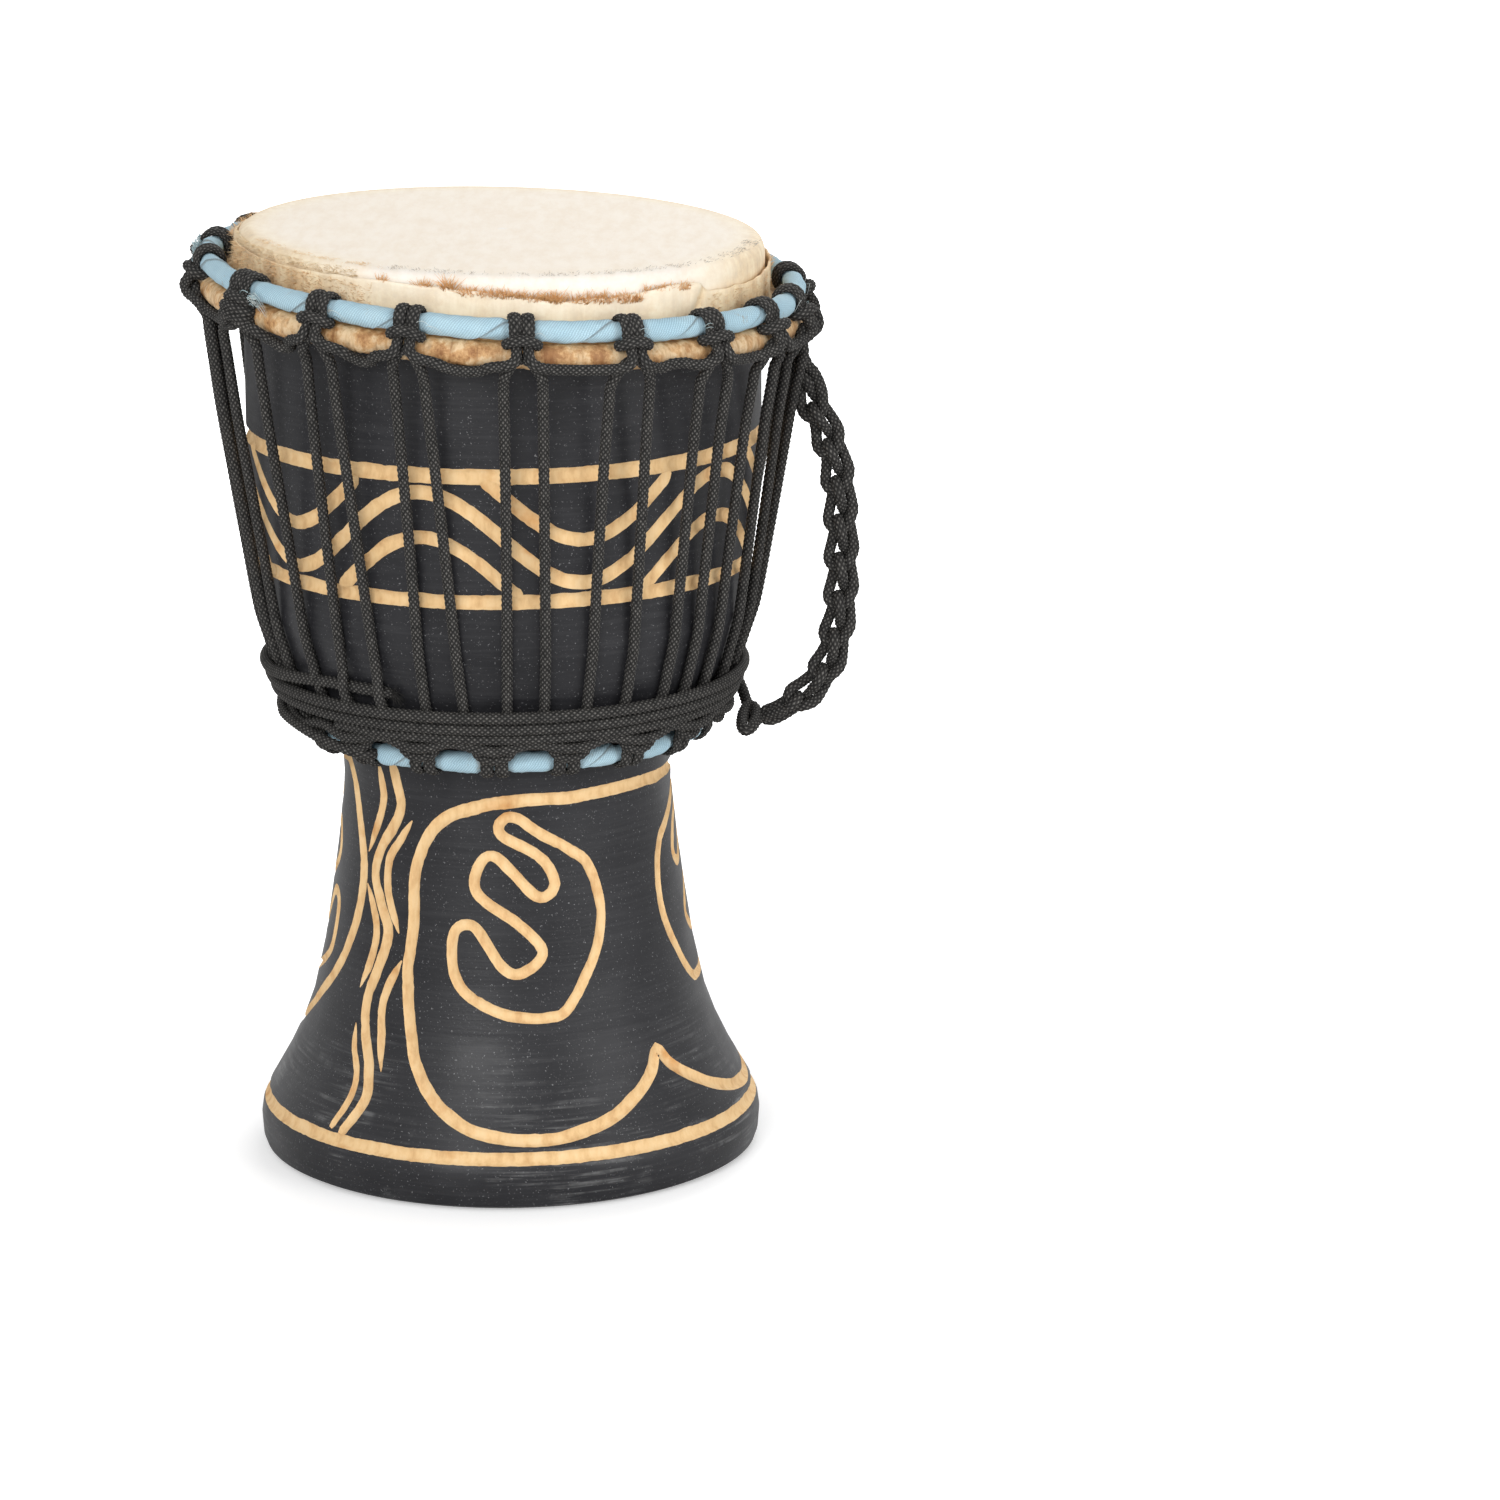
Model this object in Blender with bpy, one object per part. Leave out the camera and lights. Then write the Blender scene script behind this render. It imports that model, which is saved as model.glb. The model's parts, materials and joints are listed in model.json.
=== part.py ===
"""A mini djembe: a rope-tuned goblet drum, in metres, +Z up, standing at the origin."""

import math

import bmesh
import bpy
from mathutils import Vector

MM = 0.001

# Clearances and counts
GAP = 0.3 * MM
FACET_ROOM = 0.25 * MM
STEPS_ROUND = 36
HITCHES = 18
HITCH_STEP = 2 * math.pi / HITCHES
HITCH_PHASE = math.radians(5.7)

# Shell of turned wood: outer line
DRUM_HEIGHT = 271.0 * MM
FOOT_RADIUS = 73.5 * MM
FOOT_FLAT_RADIUS = 70.5 * MM
FOOT_LIP_HEIGHT = 9.0 * MM
FOOT_SWEEP_HEIGHT = 45.0 * MM
FOOT_SWEEP_RADIUS = 57.6 * MM
WAIST_HEIGHT = 91.0 * MM
WAIST_RADIUS = 49.6 * MM
NECK_DROP = 19.2 * MM
NECK_RADIUS = 47.6 * MM
SHOULDER_HEIGHT = 131.2 * MM
SHOULDER_RADIUS = 57.6 * MM
BELLY_RISE = 16.8 * MM
BELLY_RADIUS = 65.6 * MM
BOWL_RADIUS = 74.2 * MM
BOWL_CURVE = 31.0 * MM
BOWL_FULL_HEIGHT = 213.0 * MM
NECK_HEIGHT = SHOULDER_HEIGHT - NECK_DROP
BELLY_HEIGHT = SHOULDER_HEIGHT + BELLY_RISE

# Shell: hollow
RIM_WALL = 6.2 * MM
BOWL_WALL = 6.5 * MM
THROAT_RADIUS = 31.0 * MM
THROAT_DROP = 8.0 * MM
THROAT_HEIGHT = NECK_HEIGHT - THROAT_DROP
FOOT_HOLLOW_RADIUS = 59.0 * MM

# Slant of the crown and of the head: rise per metre, and the way it rises from +X
CROWN_SLOPE = -0.068
HEAD_SLOPE = -0.031
SLANT_TURN = math.radians(-15.6)
SLANT_START = 222.0 * MM
SLANT_FULL = 243.0 * MM

# Skin
SKIN = 0.7 * MM
SKIN_LIP_TOP = 267.0 * MM
HEAD_EDGE_ROUND = 2.6 * MM
ROLL_START = -125

# Steel rings and the cloth round them
FLESH_WIRE = 5.2 * MM
CROWN_WIRE = 4.0 * MM
BOTTOM_WIRE = 4.0 * MM
CLOTH = 0.65 * MM
CLOTH_SEAM = 0.9 * MM

# Rope
ROPE = 3.0 * MM
HITCH_STRAND_SPACING = 3.6 * MM
CROWN_FORK_SPREAD = 5.6 * MM
BOTTOM_FORK_SPREAD = 4.6 * MM
BIGHT_RISE = 2.6 * MM
LACING_TOP_DROP = 3.2 * MM
LACING_TOP_SPREAD = math.radians(8.6)
LACING_FOOT_SPREAD = math.radians(9.4)
LACING_FOOT_SHIFT = math.radians(1.3)
BOTTOM_HITCH_SHIFT = math.radians(-6.9)
BOTTOM_HITCH_PHASE = HITCH_PHASE + BOTTOM_HITCH_SHIFT
WINDING_TURNS = 3.3
WINDING_GAP = 0.45 * MM
WINDING_START = math.radians(-29.0)

# Strap
STRAP_WIDTH = 7.5 * MM
STRAP_AZIMUTH = HITCH_PHASE + 4 * HITCH_STEP
UPPER_KNOT = 8.0 * MM
LOWER_KNOT = 9.5 * MM
KNOT_DENT = 0.11

# Places that follow from the sizes above
ROPE_R = ROPE / 2
CROWN_TUBE_R = CROWN_WIRE / 2 + GAP + FACET_ROOM + CLOTH
BOTTOM_TUBE_R = BOTTOM_WIRE / 2 + GAP + FACET_ROOM + CLOTH
ROLL_R = FLESH_WIRE / 2 + GAP + SKIN
SKIN_SIDE = BOWL_RADIUS + GAP + SKIN / 2
LIP_SIDE = SKIN_SIDE + SKIN + 0.5 * MM
CROWN_RING_R = LIP_SIDE + SKIN / 2 + GAP + ROPE + GAP + CROWN_TUBE_R + 2 * FACET_ROOM
CROWN_RING_Z = 258.8 * MM
FLESH_RING_R = CROWN_RING_R - 0.5 * MM
FLESH_RING_Z = CROWN_RING_Z - CROWN_TUBE_R - ROLL_R - 0.5 * MM
BOTTOM_RING_R = NECK_RADIUS + 1.5 * MM + GAP + ROPE + GAP + BOTTOM_TUBE_R + 2 * FACET_ROOM
BOTTOM_RING_Z = SHOULDER_HEIGHT - BOTTOM_TUBE_R - GAP
HEAD_TOP = DRUM_HEIGHT
BEARING_Z = HEAD_TOP - SKIN - GAP
CROWN_WRAP_R = CROWN_TUBE_R + GAP + ROPE_R + FACET_ROOM
BOTTOM_WRAP_R = BOTTOM_TUBE_R + GAP + ROPE_R + FACET_ROOM
ROLL_WRAP_R = ROLL_R + GAP + ROPE_R + FACET_ROOM


def slant(height):
    """Rise per metre at this height: level bowl, slanted crown, less slanted head."""
    if height <= SLANT_START:
        return 0.0
    if height < SLANT_FULL:
        return CROWN_SLOPE * (height - SLANT_START) / (SLANT_FULL - SLANT_START)
    lip, top = SKIN_LIP_TOP - 2.5 * MM, BEARING_Z
    if height <= lip:
        return CROWN_SLOPE
    if height >= top:
        return HEAD_SLOPE
    return CROWN_SLOPE + (HEAD_SLOPE - CROWN_SLOPE) * (height - lip) / (top - lip)


def at(azimuth, radius, height):
    """The point at this azimuth, from the front towards +X, with the drum's slant put in."""
    x = radius * math.sin(azimuth)
    y = -radius * math.cos(azimuth)
    lean = x * math.cos(SLANT_TURN) + y * math.sin(SLANT_TURN)
    return Vector((x, y, height + slant(height) * lean))


def clear_scene():
    for item in list(bpy.data.objects):
        bpy.data.objects.remove(item, do_unlink=True)


def material(name, colour, roughness, metallic=0.0):
    found = bpy.data.materials.get(name)
    if found:
        return found
    made = bpy.data.materials.new(name)
    made.use_nodes = True
    shader = made.node_tree.nodes["Principled BSDF"]
    shader.inputs["Base Color"].default_value = (*colour, 1.0)
    shader.inputs["Roughness"].default_value = roughness
    shader.inputs["Metallic"].default_value = metallic
    made.diffuse_color = (*colour, 1.0)
    return made


def wood():
    return material("painted_wood", (0.022, 0.022, 0.024), 0.45)


def goat_skin():
    return material("goat_skin", (0.86, 0.75, 0.60), 0.7)


def steel():
    return material("steel", (0.55, 0.55, 0.56), 0.35, 1.0)


def blue_cloth():
    return material("blue_cloth", (0.42, 0.62, 0.73), 0.9)


def black_rope():
    return material("black_rope", (0.026, 0.024, 0.023), 0.8)


def add_object(name, data, finish):
    item = bpy.data.objects.new(name, data)
    data.materials.append(finish)
    bpy.context.scene.collection.objects.link(item)
    return item


def turned(name, profile, finish, phase=HITCH_PHASE):
    """A solid of revolution of a closed profile of (radius, height); radius 0 is a pole."""
    mesh = bmesh.new()
    rings = []
    for radius, height in profile:
        if radius == 0:
            rings.append([mesh.verts.new(at(0, 0, height))] * STEPS_ROUND)
            continue
        rings.append([mesh.verts.new(at(phase + 2 * math.pi * i / STEPS_ROUND, radius, height))
                      for i in range(STEPS_ROUND)])
    for lower, upper in zip(rings, rings[1:] + rings[:1]):
        for i in range(STEPS_ROUND):
            j = (i + 1) % STEPS_ROUND
            corners = []
            for corner in (lower[i], lower[j], upper[j], upper[i]):
                if corner not in corners:
                    corners.append(corner)
            if len(corners) > 2:
                mesh.faces.new(corners)
    bmesh.ops.recalc_face_normals(mesh, faces=mesh.faces)
    data = bpy.data.meshes.new(name)
    mesh.to_mesh(data)
    mesh.free()
    data.shade_smooth()
    data.set_sharp_from_angle(angle=math.radians(40))
    return add_object(name, data, finish)


def arc(centre, radius, start, end, count):
    """Points (radius, height) on an arc; angles in degrees, 0 outward, 90 up."""
    points = []
    for i in range(count):
        angle = math.radians(start + (end - start) * i / (count - 1))
        points.append((centre[0] + radius * math.cos(angle), centre[1] + radius * math.sin(angle)))
    return points


def beside(line, distance):
    """The line of (radius, height) moved to its left by this distance."""
    moved = []
    for i, (radius, height) in enumerate(line):
        before = line[max(i - 1, 0)]
        after = line[min(i + 1, len(line) - 1)]
        step = Vector((after[0] - before[0], after[1] - before[1])).normalized()
        side = Vector((-step.y, step.x)) * distance
        if radius == 0:
            side = Vector((0, math.copysign(distance, distance * step.x)))
        moved.append((radius + side.x, height + side.y))
    return moved


def strip(line, thickness):
    """The closed outline of a sheet of this thickness that follows the line of (radius, height)."""
    return beside(line, thickness / 2) + beside(line, -thickness / 2)[::-1]


def level_on(line, height):
    """The radius at this height on a line of (radius, height)."""
    for (r0, z0), (r1, z1) in zip(line, line[1:]):
        if min(z0, z1) <= height <= max(z0, z1) and z0 != z1:
            return r0 + (r1 - r0) * (height - z0) / (z1 - z0)
    return line[-1][0]


def taut(line):
    """The line pulled tight round its outermost points."""
    tight = [line[0]]
    start = 0
    while start < len(line) - 1:
        r0, z0 = line[start]
        rises = [(line[i][0] - r0) / (z0 - line[i][1]) for i in range(start + 1, len(line))]
        start += 1 + max(range(len(rises)), key=rises.__getitem__)
        tight.append(line[start])
    return tight


def tube(name, points, finish, diameter=ROPE, closed=False, sides_level=1):
    """A round tube along the points, as a bevelled curve."""
    curve = bpy.data.curves.new(name, "CURVE")
    curve.dimensions = "3D"
    curve.bevel_depth = diameter / 2
    curve.bevel_resolution = sides_level
    curve.use_fill_caps = True
    line = curve.splines.new("POLY")
    line.points.add(len(points) - 1)
    for point, place in zip(line.points, points):
        point.co = (*place, 1.0)
    line.use_cyclic_u = closed
    line.use_smooth = True
    return add_object(name, curve, finish)


def smooth_route(chosen, per_step):
    """Points on a smooth curve through the chosen points."""
    points = []
    last = len(chosen) - 1
    for i in range(last):
        a, b = chosen[max(i - 1, 0)], chosen[i]
        c, d = chosen[i + 1], chosen[min(i + 2, last)]
        for k in range(per_step):
            t = k / per_step
            points.append(0.5 * (2 * b + (c - a) * t + (2 * a - 5 * b + 4 * c - d) * t ** 2
                                 + (3 * b - a - 3 * c + d) * t ** 3))
    points.append(chosen[last].copy())
    return points


def shell_outer():
    """The outer line of the shell from the foot up to the bearing edge."""
    line = [
        (FOOT_FLAT_RADIUS, 0.0),
        (FOOT_RADIUS - 0.6 * MM, FOOT_LIP_HEIGHT * 0.3),
        (FOOT_RADIUS, FOOT_LIP_HEIGHT),
        (FOOT_RADIUS - 2.2 * MM, FOOT_LIP_HEIGHT + 7 * MM),
        (FOOT_RADIUS - 8.4 * MM, FOOT_LIP_HEIGHT + 18 * MM),
        (FOOT_SWEEP_RADIUS + 3.3 * MM, FOOT_SWEEP_HEIGHT - 9 * MM),
        (FOOT_SWEEP_RADIUS, FOOT_SWEEP_HEIGHT),
        (WAIST_RADIUS + 4.4 * MM, WAIST_HEIGHT - 30 * MM),
        (WAIST_RADIUS + 2.1 * MM, WAIST_HEIGHT - 15 * MM),
        (WAIST_RADIUS, WAIST_HEIGHT),
        (NECK_RADIUS, NECK_HEIGHT),
        (NECK_RADIUS + 0.6 * MM, BOTTOM_RING_Z - BOTTOM_TUBE_R),
        (NECK_RADIUS + 1.5 * MM, SHOULDER_HEIGHT - 0.5 * MM),
        (BOTTOM_RING_R, SHOULDER_HEIGHT),
        (SHOULDER_RADIUS + 1.4 * MM, SHOULDER_HEIGHT + 3.2 * MM),
        (BELLY_RADIUS - 4.0 * MM, BELLY_HEIGHT - 9.5 * MM),
        (BELLY_RADIUS, BELLY_HEIGHT),
        (BELLY_RADIUS + (BOWL_RADIUS - BELLY_RADIUS) * 0.53, BELLY_HEIGHT + 15 * MM),
        (BOWL_RADIUS - 2.1 * MM, BOWL_FULL_HEIGHT - BOWL_CURVE),
        (BOWL_RADIUS, BOWL_FULL_HEIGHT),
        (BOWL_RADIUS, BEARING_Z - HEAD_EDGE_ROUND),
    ]
    line += arc((BOWL_RADIUS - HEAD_EDGE_ROUND, BEARING_Z - HEAD_EDGE_ROUND), HEAD_EDGE_ROUND, 45, 90, 2)
    return line


def shell_inner():
    """The hollow's line from the bearing edge down to the foot."""
    return [
        (BOWL_RADIUS - RIM_WALL, BEARING_Z - 3.4 * MM),
        (BOWL_RADIUS - BOWL_WALL, BOWL_FULL_HEIGHT),
        (BOWL_RADIUS - BOWL_WALL - 3.2 * MM, BOWL_FULL_HEIGHT - BOWL_CURVE - 5 * MM),
        (BELLY_RADIUS - BOWL_WALL - 1.5 * MM, BELLY_HEIGHT + 4 * MM),
        (THROAT_RADIUS + 9 * MM, SHOULDER_HEIGHT + 2 * MM),
        (THROAT_RADIUS, THROAT_HEIGHT + 10 * MM),
        (THROAT_RADIUS, THROAT_HEIGHT - 12 * MM),
        (FOOT_HOLLOW_RADIUS - 19 * MM, FOOT_SWEEP_HEIGHT + 4 * MM),
        (FOOT_HOLLOW_RADIUS - 7 * MM, FOOT_LIP_HEIGHT + 8 * MM),
        (FOOT_HOLLOW_RADIUS, 0.0),
    ]


def make_shell():
    turned("shell", shell_outer() + shell_inner(), wood())


def skin_line():
    """The middle line of the skin from the centre of the head to the trimmed lip."""
    flat_z = HEAD_TOP - SKIN / 2
    edge = HEAD_EDGE_ROUND + GAP + SKIN / 2
    edge_centre = (SKIN_SIDE - edge, flat_z - edge)
    roll = (FLESH_RING_R, FLESH_RING_Z)
    roll_mid = FLESH_WIRE / 2 + GAP + SKIN / 2
    line = [(0.0, flat_z)]
    line += arc(edge_centre, edge, 90, 0, 4)
    line += [(SKIN_SIDE, FLESH_RING_Z + ROLL_R + 1.0 * MM)]
    line += arc(roll, roll_mid, ROLL_START, 90, 8)
    line += [
        (LIP_SIDE + 2.0 * MM, FLESH_RING_Z + roll_mid),
        (LIP_SIDE, FLESH_RING_Z + roll_mid + 2.0 * MM),
        (LIP_SIDE, SKIN_LIP_TOP),
    ]
    return line


def make_skin():
    outline = strip(skin_line(), SKIN)
    turned("drumhead_skin", outline, goat_skin())


def make_ring(name, radius, height, wire, phase=HITCH_PHASE):
    turned(name, arc((radius, height), wire / 2, 0, 300, 6), steel(), phase)


def make_ring_cloth(name, radius, height, wire, seam_angle, phase=HITCH_PHASE):
    """Cloth round a steel ring, as a C that is open along its seam."""
    inner = wire / 2 + GAP + FACET_ROOM
    outer = inner + CLOTH
    half = math.degrees(CLOTH_SEAM / 2 / inner)
    start, end = seam_angle + half, seam_angle + 360 - half
    outline = arc((radius, height), outer, start, end, 8)
    outline += arc((radius, height), inner, end, start, 8)
    turned(name, outline, blue_cloth(), phase)


def hitch_half(ring, wrap, run, spread, front, upward):
    """Half of a hitch, as (sideways, radius, height): from the run, along the fork and round the ring."""
    half = HITCH_STRAND_SPACING / 2
    points = [(spread, run[0], run[1])]
    for share, radius, height in front:
        points.append((spread + (half - spread) * share, radius, height))
    for angle in (20, 65, 110, 155):
        turn = math.radians(angle)
        points.append((half, ring[0] + wrap * math.cos(turn), ring[1] + upward * wrap * math.sin(turn)))
    points.append((half, ring[0] - wrap, ring[1] - upward * 0.2 * MM))
    return points


def cradle_route(ring, wrap, run, half, phase, upward):
    """One closed rope: at each hitch up over the ring, across behind it and down again."""
    points = []
    for i in range(HITCHES):
        azimuth = phase + i * HITCH_STEP
        for sideways, radius, height in half:
            points.append(at(azimuth - sideways / radius, radius, height))
        points.append(at(azimuth, ring[0] - wrap, ring[1] - upward * 1.4 * MM))
        for sideways, radius, height in half[::-1]:
            points.append(at(azimuth + sideways / radius, radius, height))
    return points


def crown_run():
    """Where the crown cradle runs from hitch to hitch, low on the outside of the roll."""
    angle = math.radians(-26)
    return (FLESH_RING_R + ROLL_WRAP_R * math.cos(angle), FLESH_RING_Z + ROLL_WRAP_R * math.sin(angle))


def lacing_top():
    """Where the lacing turns back at its head, under the roll of the skin."""
    angle = math.radians(-78)
    return (FLESH_RING_R + ROLL_WRAP_R * math.cos(angle), FLESH_RING_Z + ROLL_WRAP_R * math.sin(angle))


def lacing_line():
    """The lacing's line of (radius, height) from under the roll down to its foot, tight round the shell."""
    wall = beside(shell_outer(), -(GAP + ROPE_R + FACET_ROOM))
    radius, height = lacing_top()
    head = (radius, height - LACING_TOP_DROP)
    foot = SHOULDER_HEIGHT + BIGHT_RISE
    between = [place for place in wall if foot + 1 * MM < place[1] < head[1]]
    return taut([head] + between[::-1] + [(level_on(wall, foot), foot)])


def bottom_run():
    """Where the bottom cradle runs from hitch to hitch, outside the lacing's bights."""
    radius, height = lacing_line()[-1]
    return (radius + ROPE + GAP + 2 * FACET_ROOM, height)


def make_cradles():
    ring = (CROWN_RING_R, CROWN_RING_Z)
    roll_front = FLESH_RING_R + (ROLL_WRAP_R + FACET_ROOM) * math.cos(math.radians(8))
    front = [(0.5, roll_front, FLESH_RING_Z), (1.0, roll_front, FLESH_RING_Z + 3.0 * MM)]
    half = hitch_half(ring, CROWN_WRAP_R, crown_run(), CROWN_FORK_SPREAD, front, 1)
    route = cradle_route(ring, CROWN_WRAP_R, crown_run(), half, HITCH_PHASE, 1)
    tube("crown_cradle_rope", route, black_rope(), closed=True)
    ring = (BOTTOM_RING_R, BOTTOM_RING_Z)
    front = [(1.0, BOTTOM_RING_R + BOTTOM_WRAP_R, BOTTOM_RING_Z + 0.5 * MM)]
    half = hitch_half(ring, BOTTOM_WRAP_R, bottom_run(), BOTTOM_FORK_SPREAD, front, -1)
    route = cradle_route(ring, BOTTOM_WRAP_R, bottom_run(), half, BOTTOM_HITCH_PHASE, -1)
    tube("bottom_cradle_rope", route, black_rope(), closed=True)


def lacing_route():
    """One closed zigzag: a bight behind each crown run, a bight behind each bottom run."""
    top = lacing_top()
    line = lacing_line()
    low = line[-1]
    points = []
    for i in range(HITCHES):
        hitch = HITCH_PHASE + i * HITCH_STEP
        left_top = hitch + LACING_TOP_SPREAD / 2
        right_top = hitch + HITCH_STEP - LACING_TOP_SPREAD / 2
        left_low = hitch + LACING_FOOT_SHIFT + LACING_FOOT_SPREAD / 2
        right_low = hitch + HITCH_STEP + LACING_FOOT_SHIFT - LACING_FOOT_SPREAD / 2
        next_low = hitch + HITCH_STEP + LACING_FOOT_SHIFT + LACING_FOOT_SPREAD / 2

        def leg(top_azimuth, low_azimuth):
            found = []
            for radius, height in line[:-1]:
                share = (line[0][1] - height) / (line[0][1] - low[1])
                found.append(at(top_azimuth + (low_azimuth - top_azimuth) * share, radius, height))
            return found

        inset = 1.9 * MM / top[0]
        points += leg(left_top, left_low)[::-1]
        points.append(at(left_top + inset, top[0], top[1]))
        points.append(at(right_top - inset, top[0], top[1]))
        points += leg(right_top, right_low)
        inset = 1.9 * MM / low[0]
        points.append(at(right_low + inset, low[0], low[1]))
        points.append(at(next_low - inset, low[0], low[1]))
    return points


def make_lacing():
    tube("lacing_rope", lacing_route(), black_rope(), closed=True)


def winding_route():
    """The helix of spare rope over the lacing, from its lowest turn up."""
    per_turn = 24
    pitch = ROPE + WINDING_GAP
    chord = 1 / math.cos(math.pi / per_turn)
    line = beside(lacing_line(), ROPE + GAP)
    run = bottom_run()
    height = run[1] + ROPE
    place = Vector((level_on(line, height), height))
    count = int(WINDING_TURNS * per_turn)
    points = []
    for i in range(count, -1, -1):
        azimuth = WINDING_START - 2 * math.pi * i / per_turn
        points.append(at(azimuth, place.x * chord, place.y))
        ahead = place.y + 1 * MM
        up = Vector((level_on(line, ahead) - place.x, 1 * MM)).normalized()
        place = place + up * pitch / per_turn
    spacing = min((a - b).length for i, a in enumerate(points)
                  for b in points[i + per_turn // 2:])
    print("least gap of the winding to itself: %.2f mm" % ((spacing - ROPE) / MM))
    return points


def make_winding():
    tube("base_winding", winding_route(), black_rope())


def knot(name, centre, size, finish):
    """A lumpy round knot."""
    mesh = bmesh.new()
    bmesh.ops.create_icosphere(mesh, subdivisions=2, radius=size / 2)
    for vert in mesh.verts:
        direction = vert.co.normalized()
        dent = KNOT_DENT * (0.5 - 0.5 * math.sin(5 * direction.x + 1) * math.sin(4 * direction.y + 2))
        vert.co = direction * size / 2 * (1 - dent) + centre
    data = bpy.data.meshes.new(name)
    mesh.to_mesh(data)
    mesh.free()
    data.shade_smooth()
    return add_object(name, data, finish)


def level_at(azimuth, radius, height):
    """The point at this azimuth, without the drum's slant."""
    return Vector((radius * math.sin(azimuth), -radius * math.cos(azimuth), height))


def strap_points():
    """The strap's route from under the upper knot to above the lower knot."""
    chosen = [(86.1, 234.3), (87.7, 229.2), (89.8, 220.5), (93.4, 212.4), (96.4, 200.5), (97.4, 188.5),
              (97.6, 177.2), (97.5, 165.5), (96.4, 154.8), (93.6, 144.4), (88.4, 136.9), (83.0, 132.4)]
    return smooth_route([level_at(STRAP_AZIMUTH, r * MM, z * MM) for r, z in chosen], 2)


def tail_points(knot_centre):
    """The plain rope from the lower knot, round behind and in over the winding."""
    chosen = [(91.0, 76.4, 134.6), (97.0, 75.2, 138.0), (104.0, 74.4, 142.0), (110.0, 73.7, 145.5),
              (114.0, 72.6, 149.0), (116.5, 71.0, 151.4), (117.0, 69.7, 153.6)]
    route = [level_at(math.radians(a), r * MM, z * MM) for a, r, z in chosen]
    out = (route[0] - knot_centre).normalized()
    return smooth_route([knot_centre + out * (LOWER_KNOT / 2 + GAP)] + route, 2)


def make_strap():
    rope = black_rope()
    braid = strap_points()
    tube("strap_braid", braid, rope, diameter=STRAP_WIDTH, sides_level=2)
    up = (braid[0] - braid[1]).normalized()
    down = (braid[-1] - braid[-2]).normalized()
    knot("strap_upper_knot", braid[0] + up * UPPER_KNOT / 2, UPPER_KNOT, rope)
    lower = braid[-1] + down * LOWER_KNOT / 2
    knot("strap_lower_knot", lower, LOWER_KNOT, rope)
    tube("strap_tail", tail_points(lower), rope)


def main():
    clear_scene()
    make_shell()
    make_skin()
    make_ring("flesh_ring", FLESH_RING_R, FLESH_RING_Z, FLESH_WIRE)
    make_ring("crown_ring", CROWN_RING_R, CROWN_RING_Z, CROWN_WIRE)
    make_ring("bottom_ring", BOTTOM_RING_R, BOTTOM_RING_Z, BOTTOM_WIRE, BOTTOM_HITCH_PHASE)
    make_ring_cloth("crown_ring_cloth", CROWN_RING_R, CROWN_RING_Z, CROWN_WIRE, 180)
    make_ring_cloth("bottom_ring_cloth", BOTTOM_RING_R, BOTTOM_RING_Z, BOTTOM_WIRE, 180, BOTTOM_HITCH_PHASE)
    make_cradles()
    make_lacing()
    make_winding()
    make_strap()


main()
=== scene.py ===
"""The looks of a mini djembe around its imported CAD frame."""

import json
import math
import random

import bmesh
import bpy
import numpy as np
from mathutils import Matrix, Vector, noise as mathnoise

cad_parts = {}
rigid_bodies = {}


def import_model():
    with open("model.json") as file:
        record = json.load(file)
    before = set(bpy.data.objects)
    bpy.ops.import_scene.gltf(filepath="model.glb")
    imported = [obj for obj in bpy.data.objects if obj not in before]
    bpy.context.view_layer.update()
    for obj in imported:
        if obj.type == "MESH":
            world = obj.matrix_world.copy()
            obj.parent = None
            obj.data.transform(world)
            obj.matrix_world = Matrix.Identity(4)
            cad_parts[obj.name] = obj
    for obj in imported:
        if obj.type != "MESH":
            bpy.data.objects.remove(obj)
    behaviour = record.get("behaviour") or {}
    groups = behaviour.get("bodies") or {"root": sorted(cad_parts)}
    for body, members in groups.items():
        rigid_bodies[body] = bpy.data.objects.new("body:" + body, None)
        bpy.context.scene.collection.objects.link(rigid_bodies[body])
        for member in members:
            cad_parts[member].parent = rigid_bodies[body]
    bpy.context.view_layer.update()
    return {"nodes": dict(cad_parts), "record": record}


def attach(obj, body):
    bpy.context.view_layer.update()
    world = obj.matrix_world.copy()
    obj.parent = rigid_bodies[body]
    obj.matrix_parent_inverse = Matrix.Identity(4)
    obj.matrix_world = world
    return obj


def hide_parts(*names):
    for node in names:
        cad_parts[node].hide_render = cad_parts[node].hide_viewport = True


MM = 0.001

# The shell's lines as (radius, height) in mm
SHELL_LINE = [(70.5, 0.0), (72.4, 1.0), (73.2, 3.2), (73.6, 8.6), (73.1, 12.0), (71.4, 16.2), (68.4, 21.4),
              (65.1, 27.2), (60.9, 36.0), (57.6, 45.0), (54.0, 61.0), (51.7, 76.0), (49.6, 91.0), (47.9, 107.0),
              (47.6, 112.0), (48.0, 120.0), (49.1, 130.7), (56.4, 131.2), (59.0, 134.4), (61.6, 138.5),
              (65.6, 148.0), (70.2, 163.0), (72.1, 182.0), (73.6, 200.0), (74.2, 213.0), (74.2, 240.0),
              (74.2, 267.4), (73.4, 269.2), (71.6, 270.0)]
SHELL_HOLLOW = [(68.0, 266.6), (67.7, 240.0), (67.7, 213.0), (66.4, 195.0), (64.5, 177.0), (62.0, 164.0),
                (57.6, 152.0), (49.5, 142.0), (40.0, 133.2), (34.0, 124.0), (31.0, 114.0), (31.0, 92.0),
                (33.5, 76.0), (40.0, 49.0), (45.5, 32.0), (52.0, 17.0), (56.2, 8.0), (59.0, 0.0)]

# The slant of the crown and of the head, as in the CAD source
SLANT_TURN = math.radians(-15.6)
SLANT_HEIGHTS = (222.0, 243.0, 264.5, 270.0)
SLANT_SLOPES = (0.0, -0.068, -0.068, -0.031)


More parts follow.
